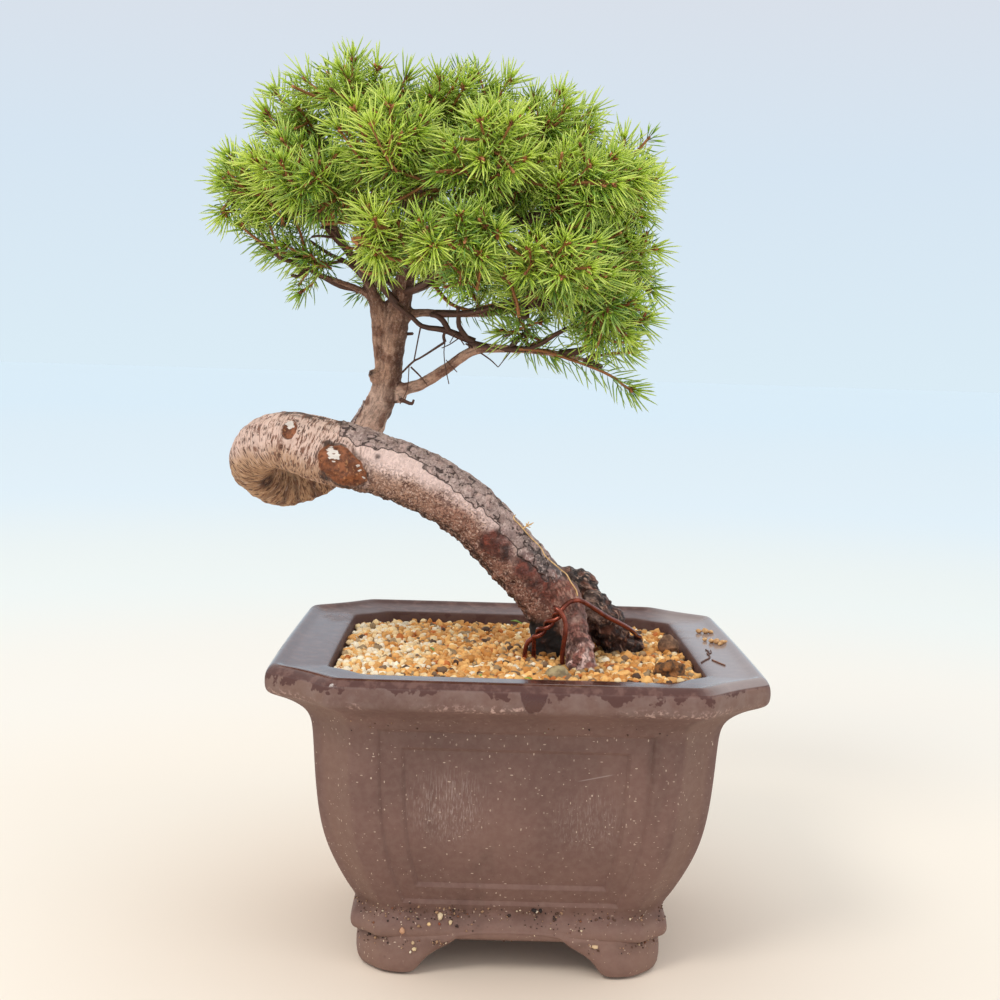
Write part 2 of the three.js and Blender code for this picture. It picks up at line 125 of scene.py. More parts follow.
def pot_outline(half_width, depth_loss, cut):
    """One level of the pot, anticlockwise from the front's left end, with its arrises eased."""
    half_depth = half_width - depth_loss
    side_x = half_width - cut
    side_y = half_depth - corner_lengthwise * cut
    mid_x = half_width - cut / 2 - corner_hollow * cut
    mid_y = half_depth - corner_lengthwise * cut / 2 - corner_hollow * cut
    run = math.hypot(half_width - side_x, half_depth - side_y)
    ease_x = arris * (half_width - side_x) / run
    ease_y = arris * (half_depth - side_y) / run
    shares = (1 - arris / side_x, *reversed(side_shares), 0)
    front = [(-side_x * s, -half_depth * (1 + side_bow * (1 - s * s))) for s in shares]
    front += [(-x, y) for x, y in reversed(front[:-1])]
    right_shares = (1 - arris / side_y, *reversed(side_shares), 0)
    right = [(half_width * (1 + side_bow * (1 - s * s)), -side_y * s) for s in right_shares]
    right += [(x, -y) for x, y in reversed(right[:-1])]
    corner = [(side_x + ease_x, -half_depth + ease_y), (mid_x, -mid_y),
              (half_width - ease_x, -side_y - ease_y)]
    half = front + corner + right + [(x, -y) for x, y in reversed(corner)]
    return half + [(-x, -y) for x, y in half]


def deselect_everything():
    if bpy.context.object and bpy.context.object.mode == "EDIT":
        bpy.ops.object.mode_set(mode="OBJECT")
    bpy.ops.object.select_all(action="DESELECT")


def pick_only(piece):
    deselect_everything()
    piece.select_set(True)
    bpy.context.view_layer.objects.active = piece


def settle(piece):
    """Puts the piece's place into its mesh, so that its object is at the origin."""
    piece.data.transform(piece.matrix_world)
    piece.matrix_world = Matrix.Identity(4)


def apply_modifier(piece, kind, **settings):
    pick_only(piece)
    modifier = piece.modifiers.new(kind.lower(), kind)
    for name, value in settings.items():
        setattr(modifier, name, value)
    bpy.ops.object.modifier_apply(modifier=modifier.name)


def in_mm(point):
    """The opposite of place()."""
    return ((point.x - pot_x) * 1000, (point.y - pot_y) * 1000, point.z * 1000)


def move_ring(outline, heights):
    """Sets the selected ring of the mesh being edited on an outline, in order round the pot."""
    mesh = bmesh.from_edit_mesh(bpy.context.object.data)
    ring = [corner for corner in mesh.verts if corner.select]
    ring.sort(key=lambda corner: math.atan2(corner.co.y - pot_y, corner.co.x - pot_x))
    marks = sorted(zip(outline, heights), key=lambda mark: math.atan2(mark[0][1], mark[0][0]))
    for corner, ((x, y), z) in zip(ring, marks):
        corner.co = place(x, y, z)
    bmesh.update_edit_mesh(bpy.context.object.data)


def pull_ring(outline, heights):
    bpy.ops.mesh.extrude_region_move(TRANSFORM_OT_translate={"value": (0, 0, 0.001)})
    move_ring(outline, heights)


def pick_faces(test):
    """Selects the faces of the mesh being edited whose middle and normal pass the test."""
    bpy.ops.mesh.select_mode(type="FACE")
    bpy.ops.mesh.select_all(action="DESELECT")
    mesh = bmesh.from_edit_mesh(bpy.context.object.data)
    for face in mesh.faces:
        if test(*in_mm(face.calc_center_median()), face.normal):
            face.select_set(True)
    bmesh.update_edit_mesh(bpy.context.object.data)


def start_ring(name, outline, height, filled):
    """A flat ring with as many corners as the outline, left in edit mode with all of it picked."""
    deselect_everything()
    bpy.ops.mesh.primitive_circle_add(
        vertices=len(outline), radius=0.05, fill_type="NGON" if filled else "NOTHING",
        location=place(0, 0, height))
    piece = bpy.context.object
    piece.name = name
    settle(piece)
    bpy.ops.object.mode_set(mode="EDIT")
    bpy.ops.mesh.select_all(action="SELECT")
    move_ring(outline, [height] * len(outline))
    return piece


def side_half(z):
    """Half the length of the pot's side between its cut corners at a height."""
    heights = [level[0] for level in outside_levels]
    return np.interp(z, heights, [level[1] - level[2] for level in outside_levels])


first_level = outside_levels[0]
pot = start_ring("stoneware_pot", pot_outline(first_level[1], outside_depth_loss, first_level[2]),
                 first_level[0], True)
for levels, depth_loss in ((outside_levels[1:] + rim_levels, outside_depth_loss),
                           (inside_levels, inside_depth_loss)):
    for z, half_width, cut in levels:
        outline = pot_outline(half_width, depth_loss, cut)
        pull_ring(outline, [z] * len(outline))
floor_border = 0.008
bpy.ops.mesh.inset(thickness=floor_border)
bpy.ops.mesh.normals_make_consistent(inside=False)
plinth_under = outside_levels[0][0]
pick_faces(lambda x, y, z, normal: z < plinth_under + 0.1 and normal.z < -0.9)
bpy.ops.mesh.inset(thickness=floor_border)

# The two sunk panels of each side, with their steps kept fairly crisp.
panels = [
    {"bottom": 27.8, "top": 97.8, "share": side_shares[1], "slope": 1.2, "depth": 1.15},
    {"bottom": 34.8, "top": 90.8, "share": side_shares[0], "slope": 1.3, "depth": 1.2},
]
step_crease = 0.7


def sharpen_panel_corners(panel):
    """Creases the short edges that join the corners of the panel's step, so that it isn't rounded."""
    mesh = bmesh.from_edit_mesh(pot.data)
    sharpness = mesh.edges.layers.float["crease_edge"]

    def at_corner(corner):
        x, y, z = in_mm(corner.co)
        off_end = abs(min(abs(x), abs(y)) - panel["share"] * side_half(z))
        return off_end < 3.6 and (-1 < z - panel["bottom"] < 3.2 or -2.2 < z - panel["top"] < 1)

    for edge in mesh.edges:
        if at_corner(edge.verts[0]) and at_corner(edge.verts[1]):
            edge[sharpness] = 1.0
    bmesh.update_edit_mesh(pot.data)


for panel in panels:
    def in_panel(x, y, z, normal):
        along = min(abs(x), abs(y))
        outside = max(abs(x), abs(y)) > 0.9 * side_half(z) and abs(normal.z) < 0.6
        facing = (normal.y * y > 0.8 * abs(y)) or (normal.x * x > 0.8 * abs(x))
        return (outside and facing and panel["bottom"] < z < panel["top"]
                and along < (panel["share"] + 0.03) * side_half(z))
    for sunk in (False, True):
        pick_faces(in_panel)
        if sunk:
            bpy.ops.mesh.inset(thickness=panel["slope"] / 1000, depth=-panel["depth"] / 1000,
                               use_even_offset=True)
        bpy.ops.mesh.region_to_loop()
        bpy.ops.transform.edge_crease(value=step_crease)
    sharpen_panel_corners(panel)
bpy.ops.object.mode_set(mode="OBJECT")
apply_modifier(pot, "SUBSURF", levels=2, render_levels=2)

# The bracket feet: a ring of wall under the plinth, whose lower edge is lifted to the arch
# between each two feet.
foot_sole = 36.5
arch_curve = [(0, 17), (18.4, 17), (20.5, 13.4), (25, 10.8), (29.5, 8), (32.2, 5.2),
              (34, 2.2), (foot_sole, 0)]
foot_marks = [18.4, 20.5, 25, 29.5, 32.2, 34, foot_sole, 41]
foot_levels = [(1.0, 57), (0.72, 57.5), (0.4, 58.7), (0.12, 58.2), (0, 57)]
foot_inside_levels = [(0, 46.8), (0.12, 45.7), (1.0, 45.5)]
foot_top = 19.5
foot_corner = 10


def foot_outline(half_width):
    """One level of the feet's wall, in the same order as the pot's outline."""
    cut = foot_corner * (half_width - 40) / 17
    half_depth = half_width - 1.5
    marks = [-m for m in reversed(foot_marks)] + foot_marks
    front = [(m, -half_depth) for m in marks]
    right = [(half_width, m * 0.97) for m in marks]
    corner = [(half_width - cut, -half_depth + 0.12 * cut),
              (half_width - cut * 0.56, -half_depth + cut * 0.56),
              (half_width - 0.12 * cut, -half_depth + cut)]
    half = front + corner + right + [(x, -y) for x, y in reversed(corner)]
    return half + [(-x, -y) for x, y in half]


def foot_edge(x, y):
    """The height of the feet's lower edge, which the arches lift."""
    marks, heights = zip(*arch_curve)
    return np.interp(min(abs(x), abs(y)), marks, heights)


def foot_ring(share, half_width):
    """A level of the feet that lies a share of the way up from the lower edge to the plinth."""
    outline = foot_outline(half_width)
    edges = [foot_edge(x, y) for x, y in foot_outline(foot_levels[0][1])]
    return outline, [edge + share * (foot_top - edge) for edge in edges]


feet = start_ring("feet", foot_outline(foot_levels[0][1]), foot_top, False)
for share, half_width in foot_levels[1:] + foot_inside_levels:
    pull_ring(*foot_ring(share, half_width))
bpy.ops.mesh.select_mode(type="EDGE")
bpy.ops.mesh.select_all(action="DESELECT")
bpy.ops.mesh.select_non_manifold()
bpy.ops.mesh.bridge_edge_loops()
bpy.ops.mesh.select_all(action="SELECT")
bpy.ops.mesh.normals_make_consistent(inside=False)
bpy.ops.object.mode_set(mode="OBJECT")
apply_modifier(feet, "SUBSURF", levels=1, render_levels=1)
apply_modifier(pot, "BOOLEAN", operation="UNION", solver="EXACT", object=feet)
bpy.data.objects.remove(feet)
drain_x, drain_radius, drain_middle = 30, 10, 19
for side in (-1, 1):
    deselect_everything()
    bpy.ops.mesh.primitive_cylinder_add(vertices=40, radius=drain_radius / 1000, depth=0.03,
                                        location=place(side * drain_x, 0, drain_middle))
    drill = bpy.context.object
    apply_modifier(pot, "BOOLEAN", operation="DIFFERENCE", solver="EXACT", object=drill)
    bpy.data.objects.remove(drill)
pick_only(pot)
bpy.ops.object.shade_smooth_by_angle(angle=math.radians(30))


# Small helpers for writing a material. A Value is what a node puts out, and values can be added
# and multiplied. add_node makes a node: an input is named, or numbered after an underscore.
class Value:
    def __init__(self, socket):
        self.socket = socket

    def out(self, label):
        """Another output of the same node."""
        return Value(self.socket.node.outputs[label])

    def __add__(self, other):
        return calculate("ADD", self, other)

    def __sub__(self, other):
        return calculate("SUBTRACT", self, other)

    def __rsub__(self, other):
        return calculate("SUBTRACT", other, self)

    def __mul__(self, other):
        return calculate("MULTIPLY", self, other)

    def between(self, low, high):
        """A share that runs softly from 0 to 1 while the value runs from low to high."""
        return add_node(self.socket.id_data, "MapRange", {"interpolation_type": "SMOOTHSTEP"},
                        Value=self, From_Min=low, From_Max=high)


def fill_socket(socket, value):
    """Links a value to an input, or sets the input's constant."""
    if isinstance(value, Value):
        socket.id_data.links.new(value.socket, socket)
    else:
        socket.default_value = value


def add_node(tree, kind, settings=None, **inputs):
    made = tree.nodes.new("ShaderNode" + kind)
    for name, value in (settings or {}).items():
        setattr(made, name, value)
    for name, value in inputs.items():
        label = int(name[1:]) if name[0] == "_" else name.replace("_", " ")
        fill_socket(made.inputs[label], value)
    return Value(made.outputs[0])


def calculate(operation, first, second=0.5):
    tree = (first if isinstance(first, Value) else second).socket.id_data
    return add_node(tree, "Math", {"operation": operation}, _0=first, _1=second)


def largest(first, *others):
    """The largest of the values at each place."""
    for other in others:
        first = calculate("MAXIMUM", first, other)
    return first


def on_places(operation, place, **others):
    """A sum on a place, like its distance or length."""
    return add_node(place.socket.id_data, "VectorMath", {"operation": operation}, _0=place, **others)


def srgb(red, green, blue):
    """A colour as the eye gives it, 0 to 255, in Blender's linear light."""
    return np.array([(c / 255 / 12.92) if c <= 10 else ((c / 255 + 0.055) / 1.055) ** 2.4
                     for c in (red, green, blue)])


def paint(red, green, blue):
    """The same as a material's colour, with its alpha."""
    return (*srgb(red, green, blue), 1)


def new_group(name, **inputs):
    """A group of nodes for an effect that is used again, and its inputs as values."""
    group = bpy.data.node_groups.new(name, "ShaderNodeTree")
    for label, kind in inputs.items():
        group.interface.new_socket(label, in_out="INPUT", socket_type="NodeSocket" + kind)
    group.interface.new_socket("Mask", in_out="OUTPUT", socket_type="NodeSocketFloat")
    given = group.nodes.new("NodeGroupInput").outputs
    return group, *(Value(given[label]) for label in inputs)


def end_group(group, mask):
    fill_socket(group.nodes.new("NodeGroupOutput").inputs["Mask"], mask)


# Grit is a scatter of small specks, some cells of a size left empty; mottle is soft uneven tone.
grit, at, scale, size, share = new_group(
    "grit", Place="Vector", Scale="Float", Size="Float", Share="Float")
cells = add_node(grit, "TexVoronoi", Vector=at, Scale=scale, Randomness=1.0)
cell_draw = add_node(grit, "SeparateColor", _0=cells.out("Color"))
kept = calculate("LESS_THAN", cell_draw.out(0), share)
speck = calculate("LESS_THAN", cells.out("Distance"), size * (cell_draw.out(1) + 0.4))
end_group(grit, kept * speck * (cell_draw.out(2) * 0.7 + 0.3))
mottle, at, scale, low, high = new_group(
    "mottle", Place="Vector", Scale="Float", Low="Float", High="Float")
clouds = add_node(mottle, "TexNoise", Vector=at, Scale=scale, Detail=5.0, Roughness=0.6)
end_group(mottle, clouds.between(low, high))


class Material:
    """A material that is being written: its nodes, its shader, and its colour so far."""

    def __init__(self, name, **constants):
        self.kept = bpy.data.materials.new(name)
        self.kept.use_nodes = True
        self.shader = self.kept.node_tree.nodes["Principled BSDF"]
        self.own_place = None
        self.join(**constants)

    def node(self, kind, settings=None, **inputs):
        return add_node(self.kept.node_tree, kind, settings, **inputs)

    def join(self, **values):
        """Gives the shader's inputs their constants and values."""
        for name, value in values.items():
            fill_socket(self.shader.inputs[name.replace("_", " ")], value)

    def own(self):
        """The place on the object, in its own coordinates."""
        if self.own_place is None:
            self.own_place = self.node("TexCoord").out("Object")
        return self.own_place

    def kept_share(self, name):
        return self.node("Attribute", {"attribute_name": name}).out("Fac")

    def laid(self, scale, place=None, **turn):
        """The place stretched and turned, to lay marks one way."""
        return self.node("Mapping", Vector=place or self.own(), Scale=scale, **turn)

    def noise(self, scale, detail, place=None, **more):
        return self.node("TexNoise", Vector=place or self.own(), Scale=scale, Detail=detail, **more)

    def group(self, group, **inputs):
        return self.node("Group", {"node_tree": group}, **inputs)

    def blots(self, scale, low, high, place=None):
        return self.group(mottle, Place=place or self.own(), Scale=scale, Low=low, High=high)

    def mix(self, share, first, second):
        self.colour = self.node("Mix", {"data_type": "RGBA"}, _0=share, _6=first, _7=second).out(2)
        self.join(Base_Color=self.colour)

    def mark(self, share, tone):
        """Lays a tone over the colour so far, where the share asks for it."""
        self.mix(share, self.colour, paint(*tone))

    def dent(self, height, strength, distance):
        self.join(Normal=self.node("Bump", Height=height, Strength=strength, Distance=distance))


def give_material(piece, material):
    piece.data.materials.clear()
    piece.data.materials.append(material.kept)


def finish_piece(piece, material, slot, *nodes):
    """Gives a piece its material, lets it ride on the object and hides the CAD parts it replaces. The slot
    is not used.
    """
    give_material(piece, material)
    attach(piece, "root")
    if nodes:
        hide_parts(*nodes)


def mesh_places(piece):
    """The piece's corners in millimetres from the pot's middle, and their normals."""
    count = len(piece.data.vertices)
    places, normals = np.empty(count * 3), np.empty(count * 3)
    piece.data.vertices.foreach_get("co", places)
    piece.data.vertices.foreach_get("normal", normals)
    places = places.reshape(-1, 3) * 1000 - (pot_x * 1000, pot_y * 1000, 0)
    return places, normals.reshape(-1, 3)


def keep_on_corners(piece, name, values):
    """Stores a colour, a place or a number at every corner of the piece, for its material."""
    width = 1 if values.ndim == 1 else values.shape[1]
    kind, key = {1: ("FLOAT", "value"), 3: ("FLOAT_VECTOR", "vector"), 4: ("FLOAT_COLOR", "color")}[width]
    field = piece.data.attributes.new(name, kind, "POINT")
    field.data.foreach_set(key, values.astype(np.float32).ravel())


def ease(value, low, high):
    """The soft step from 0 to 1 of between(), for arrays."""
    t = np.clip((value - low) / (high - low), 0, 1)
    return t * t * (3 - 2 * t)


# The fired clay is a dull brown mauve full of fine pale grit, grittier on the cut corners and
# painted paler there as a painted highlight, and scuffed in the middle of the front panel. The
# plinth's roll is painted paler as a painted highlight, and soil stain and painted shade darken
# the groove and the band under the roll, with more dark pits below the rim. The rim's top is
# wet: dark and shiny, and the wet has soaked down its edge in blotches and one drip.
pot_places, _ = mesh_places(pot)
past_front = np.abs(pot_places[:, 0]) - side_half(pot_places[:, 2])
past_side = np.abs(pot_places[:, 1]) - side_half(pot_places[:, 2])
keep_on_corners(pot, "cut_corner", ease(np.minimum(past_front, past_side), -0.5, 1.5))
stoneware = Material("stoneware")
mark, blots = stoneware.mark, stoneware.blots
clay = stoneware.own()
clay_xyz = stoneware.node("SeparateXYZ", _0=clay)
height = clay_xyz.out("Z") * 1000.0
corner_share = stoneware.kept_share("cut_corner")
cloud = blots(26.0, 0.3, 0.7)
stoneware.mix(cloud, paint(103, 73, 65), paint(116, 84, 75))
mark(blots(62.0, 0.55, 0.74, stoneware.laid((1.0, 1.0, 0.22))) * 0.5, (88, 62, 54))
mark(blots(14.0, 0.5, 0.75) * 0.4, (128, 98, 85))
# The cut corners are painted paler: a painted highlight.
mark(corner_share * 0.5, (124, 93, 78))
# The plinth's roll is painted paler: a painted highlight.
mark(height.between(24.0, 15.0) * 0.35, (150, 118, 104))
mark(blots(420.0, 0.35, 0.7) * 0.16, (150, 126, 112))


def height_band(low, low_full, high_full, high):
    return height.between(low, low_full) * height.between(high, high_full)


# Soil stain and painted shade darken the groove over the plinth and the band under the plinth's roll.
in_groove = height_band(19.5, 23.0, 25.0, 30.0)
under_rim = height_band(94.0, 98.0, 100.0, 105.0)
under_roll = height_band(8.0, 13.0, 14.2, 15.5)
stain_and_painted_shade = largest(in_groove, under_roll * 0.8)
mark(stain_and_painted_shade * blots(70.0, 0.35, 0.6) * 0.5, (84, 54, 42))

# Pale grit in two lays, so that the grains lie both ways, and a few bolder grains.
grit_share = corner_share * 0.3 + 0.62
below_rim = height.between(108.0, 98.0) * 0.7 + 0.1
for stretch, tilt, scale, size in (((1, 1, 0.42), (0, 0.5, 0), 700.0, 0.115),
                                   ((0.42, 1, 1), (0, 0.35, 0.2), 700.0, 0.115),
                                   ((1, 1, 0.7), (0, -0.3, 0), 300.0, 0.07)):
    grains = stoneware.group(grit, Place=stoneware.laid(stretch, Rotation=tilt), Scale=scale, Size=size,
                             Share=grit_share)
    mark(grains * below_rim, (208, 184, 164))
# Dark pits, thicker in the groove, under the roll and below the rim: partly stain and partly painted shade.
dark_pits = stoneware.group(grit, Place=clay, Scale=380.0, Size=0.12, Share=0.3)
mark(dark_pits * largest(stain_and_painted_shade, under_rim, 0.25), (54, 38, 33))


# Scuffs where the pot has been rubbed: fine upright scratches in two soft patches of the front,
# and one long scratch near the top right of the panel.
def soft_patch(middle, reach):
    gap = on_places("DISTANCE", clay, _1=tuple(middle)).out("Value")
    return gap.between(reach / 1000, reach / 3000)


scratches = largest(*(blots(2100.0, 0.52, 0.68, stoneware.laid((1.0, 1.0, 0.07), Rotation=(0, lean, 0)))
                      for lean in (0.2, -0.45)))
scuffed = largest(soft_patch(place(-24, -72, 68), 20), soft_patch(place(27, -72, 63), 18) * 0.6)
mark(scratches * scuffed * 0.5, (178, 158, 150))
scratch_middle = tuple(place(29, -73, 81))
scratch_turn = stoneware.node("VectorRotate", {"rotation_type": "Y_AXIS"}, Vector=clay,
                              Center=scratch_middle, Angle=0.22)
scratch_off = stoneware.node(
    "SeparateXYZ", _0=on_places("ABSOLUTE", on_places("SUBTRACT", scratch_turn, _1=scratch_middle)))
on_line = scratch_off.out("X").between(0.0075, 0.004) * scratch_off.out("Z").between(0.00028, 0.00012)
mark(on_line * scratch_off.out("Y").between(0.006, 0.004) * 0.6, (190, 172, 164))

# The pale worn line along the lower edge of the rim, the dark red blotches of wet below its lip,
# and the wet lip and top.
worn_line = height_band(107.0, 108.6, 109.6, 112.0)
mark(worn_line * blots(620.0, 0.5, 0.62) * blots(30.0, 0.42, 0.6) * 0.75, (206, 170, 158))
mark(height_band(107.5, 109.5, 118.0, 119.0) * blots(150.0, 0.4, 0.65) * 0.3, (140, 118, 110))
soak_noise = stoneware.noise(105.0, 4.0, Roughness=0.6)
soak_reach = 116.9 - soak_noise.between(0.42, 0.68) * 5.2
drip_middle = tuple(place(5, -91, 115.4))
drip_off = stoneware.laid((1.15, 0.4, 0.86), on_places("SUBTRACT", clay, _1=drip_middle))
drip = (on_places("LENGTH", drip_off).out("Value") + soak_noise * 0.005).between(0.0082, 0.0077)
blotches = (height - soak_reach).between(-0.5, 0.5) * height.between(107.0, 110.0)
on_lip = height.between(115.6, 116.6)
mark(largest(blotches, drip, on_lip) * 0.9, (76, 38, 31))
mark(height_band(115.2, 116.4, 118.2, 119.5) * blots(240.0, 0.45, 0.65) * 0.3, (150, 112, 100))

# The inside is darker, and the rim's right end is painted pale grey: a painted reflection of the sky
# on the wet rim. The film of water on the rim makes it smooth, least at the rear where it has dried.
from_middle = calculate("ABSOLUTE", clay_xyz.out("X") - pot_x)
inside = (calculate("LESS_THAN", from_middle, 0.0706)
          * calculate("LESS_THAN", calculate("ABSOLUTE", clay_xyz.out("Y")), 0.0672)
          * height.between(104.0, 106.0))
mark(inside * 0.7, (82, 52, 46))
# The pale grey on the rim's right end is a painted reflection.
rim_painted_reflection = clay_xyz.out("X").between(0.078, 0.092) * height.between(116.2, 116.8)
mark(rim_painted_reflection * 0.6, (172, 160, 158))
dried = blots(38.0, 0.55, 0.68)
at_rear = clay_xyz.out("Y").between(0.045, 0.07)
film = largest(height.between(115.4, 116.6) * (1.0 - dried * 0.3) * (1.0 - at_rear * 0.55), drip * 0.8)
stoneware.join(Roughness=0.66 - (film * 0.52 + blotches * 0.05) + cloud * 0.05)
relief = stoneware.noise(1500.0, 3.0) * 0.35 + stoneware.noise(120.0, 4.0)
stoneware.dent(relief * (1.0 - film * 0.75), 0.35, 0.0006)
finish_piece(pot, stoneware, "stoneware", "pot")

# Crumbs of soil and grit have washed down the pot and stuck in the groove over the plinth, on the
# shoulders of the feet and under the rim. They are small hard lumps, dark, tan or cream.
chance = random.Random(21)
pot_skin = BVHTree.FromObject(pot, bpy.context.evaluated_depsgraph_get())
crumb_palette = ([(58, 41, 35)] * 6 + [(92, 64, 50)] * 6 + [(164, 128, 98)] * 5 + [(216, 194, 164)] * 2
                 + [(120, 74, 50)] * 2)
# Place along the front, height, radius and colour of the bold ones.
bold_crumbs = [
    (-26.1, 22.8, 1.25, (232, 208, 172)), (-40, 17.8, 1.2, (196, 150, 118)),
    (-30, 20.2, 0.85, (224, 190, 140)), (-22.2, 20.9, 0.85, (226, 200, 160)),
    (-26.2, 20.3, 0.7, (140, 74, 50)), (-19.6, 19.8, 0.8, (58, 38, 34)),
    (-35.8, 13, 0.85, (206, 176, 140)), (-35.3, 10.8, 0.8, (214, 190, 150)),
    (-36.6, 9.6, 0.6, (240, 226, 200)), (32, 13.4, 0.95, (214, 184, 146)),
    (8.9, 26.4, 0.9, (40, 30, 28)), (11.4, 26.4, 0.9, (40, 30, 28)), (10, 25.6, 0.5, (230, 214, 190)),
]
# Height, scatter, clusters to a side and most crumbs to a cluster.
crumb_bands = [
    (24.2, 2.4, 34, 12), (13.2, 0.8, 22, 8), (20.6, 2.4, 20, 6), (99.5, 2.4, 7, 4), (11, 1.8, 14, 4),
]
well_outside, farthest_in = 0.14, 0.12


def stuck_crumb(side, along, height, radius, tone):
    """One crumb where a line in from the side, front, right, back or left, meets the pot."""
    turned = Matrix.Rotation(math.radians(90 * side), 3, "Z")
    start = place(0, 0, height) + turned @ Vector((along / 1000, -well_outside, 0))
    spot, normal, _, _ = pot_skin.ray_cast(start, turned @ Vector((0, 1, 0)), farthest_in)
    return spot and (spot + normal * radius * 0.0004, radius, tone)


def basic_shape(primitive, bevel=None, **settings):
    """The corners and triangles of one of Blender's basic shapes, as arrays."""
    deselect_everything()
    primitive(**settings)
    shape = bpy.context.object
    if bevel:
        apply_modifier(shape, "BEVEL", width=bevel, segments=1)
    shape.data.calc_loop_triangles()
    corners = np.array([corner.co for corner in shape.data.vertices])
    faces = np.array([list(triangle.vertices) for triangle in shape.data.loop_triangles])
    bpy.data.objects.remove(shape)
    return corners, faces


def from_millimetres(corners):
    """Places in millimetres from the pot's middle as a flat list in the frame's metres."""
    return ((corners + (pot_x * 1000, pot_y * 1000, 0)) / 1000).ravel()


def mesh_from(name, corners, faces):
    """A piece from corners in millimetres and triangles."""
    mesh = bpy.data.meshes.new(name)
    mesh.vertices.add(len(corners))
    mesh.vertices.foreach_set("co", from_millimetres(corners))
    mesh.loops.add(faces.size)
    mesh.loops.foreach_set("vertex_index", faces.ravel())
    mesh.polygons.add(len(faces))
    mesh.polygons.foreach_set("loop_start", np.arange(0, faces.size, 3))
    mesh.update(calc_edges=True)
    piece = bpy.data.objects.new(name, mesh)
    bpy.context.scene.collection.objects.link(piece)
    return piece


def scatter_mesh(name, shapes, shape_faces, attribute, colours):
    """One piece of many loose shapes that have the same faces, with a colour at each corner."""
    starts = np.arange(len(shapes)) * len(shapes[0])
    faces = (starts[:, None, None] + shape_faces[None]).reshape(-1, 3)
    piece = mesh_from(name, np.concatenate(shapes), faces)
    keep_on_corners(piece, attribute, colours)
    return piece


def coloured(name, attribute, **constants):
    """A material whose colours are kept on the mesh's corners."""
    made = Material(name, **constants)
    made.join(Base_Color=made.node("Attribute", {"attribute_name": attribute}))
    return made


crumb_list = [stuck_crumb(0, *crumb) for crumb in bold_crumbs]
for side in range(4):
    for middle, scatter, clusters, each in crumb_bands:
        for _ in range(clusters):
            along = chance.uniform(-58, 58)
            for _ in range(chance.randint(1, each)):
                crumb_list.append(stuck_crumb(
                    side, along + chance.gauss(0, 2.2), middle + chance.gauss(0, scatter * 0.6),
                    min(0.7, chance.lognormvariate(-1.4, 0.45)), chance.choice(crumb_palette)))
lump_corners, lump_faces = basic_shape(
    bpy.ops.mesh.primitive_ico_sphere_add, subdivisions=1, radius=0.001)
lump_corners = lump_corners * 1000
draw = np.random.default_rng(4)
crumb_corners, crumb_tones = [], []
for spot, radius, tone in filter(None, crumb_list):
    shape = lump_corners * draw.uniform(0.65, 1.3, (len(lump_corners), 1)) * draw.uniform(0.7, 1.25, 3)
    crumb_corners.append(shape * radius + in_mm(spot))
    crumb_tones.append(np.tile(paint(*tone), (len(lump_corners), 1)) * draw.uniform(0.75, 1.2))
crumbs = scatter_mesh("pot_crumbs", crumb_corners, lump_faces, "crumb_tone",
                      np.clip(np.concatenate(crumb_tones), 0, 1))
finish_piece(crumbs, coloured("crumb", "crumb_tone", Roughness=0.85), "soil")


# The tree's wood is one piece: the leaning trunk with its tight curl, the stem that rises behind
# it, the first limbs and the roots. It is drawn as round runs along their routes, melted together
# and then given its bark, which is pale and lenticelled, plated along the top, and wet at the foot.
trunk_route = [
    (27, -2, 92, 9), (24.5, -2, 106, 9.4), (18.6, -3, 124, 10.6), (10.2, -4, 138.4, 11),
    (-6, -6, 156.4, 11.4), (-21.5, -9, 171.8, 11.6), (-43.6, -11, 183.8, 11.8),
    (-57, -11, 188.2, 12), (-75, -10, 192, 13), (-92, -7, 196, 11.8), (-104, 2, 193, 10.6),
    (-109.5, 15, 183.5, 9), (-99, 27, 174.5, 8), (-82, 31, 180, 7.6), (-68.5, 31, 192, 7),
    (-61.5, 29, 206, 6.4), (-56.5, 26, 217, 5.9), (-54.5, 24, 228, 5.2), (-53, 21, 240, 5),
    (-50, 15, 256, 4.4), (-46, 8, 275, 3.6), (-42, 3, 295, 2.8), (-39, 0, 314, 2),
]
limb_routes = {
    "twin": [(-58.8, 23, 226, 2.2), (-60, 21.4, 239, 2.5), (-60, 17.8, 249, 3.2), (-64.4, 15, 261, 2),
             (-72, 12, 272, 1.7), (-82, 6, 290, 1.2)],
    "right_low": [(-57, 26, 214, 3.6), (-51, 24, 216.5, 2.9), (-42, 20, 219.5, 2.5),
                  (-33, 15, 225, 2.3), (-20, 7, 234, 2.1), (-9, 2, 235, 1.8),
                  (14, -4, 233.5, 1.3), (26, -6, 231, 1)],
    "right_mid": [(-52, 20, 243, 3), (-46, 18, 248, 2), (-32, 12, 248.5, 1.7),
                  (-14, 4, 249, 1.5), (-2, -2, 252.5, 1.2)],
    "left_low": [(-60, 20, 252, 2), (-67, 14, 257, 1.4), (-82, 6, 262, 1.1), (-97, 0, 268, 0.85)],
}
root_routes = [
    [(18, -8, 138, 7.5), (21, -17, 133.5, 5.8), (23.6, -27, 122, 5.2), (25, -34.5, 112, 5.7),
     (25.8, -39, 100, 3.5)],
    [(24, 0, 136, 8), (30, 3, 131.8, 7.8), (37.6, 5, 123, 7.5), (45, 9, 111.6, 6.8), (54, 18, 98, 4)],
    [(12, -3, 131, 8), (11, -4, 121, 5), (9.5, -4, 112, 4.6), (6, -2, 100, 3)],
    [(26, -8, 104, 9), (16, -16, 86, 5), (2, -24, 68, 2.5)],
    [(28, -6, 104, 9), (42, -14, 88, 5), (50, -26, 66, 2.2)],
    [(28, 0, 104, 9), (34, 18, 88, 5), (36, 36, 66, 2.2)],
    [(24, 0, 104, 9), (6, 18, 86, 5), (-12, 30, 66, 2.2)],
    [(28, -6, 104, 9), (30, -6, 84, 5), (26, 4, 58, 2)],
]
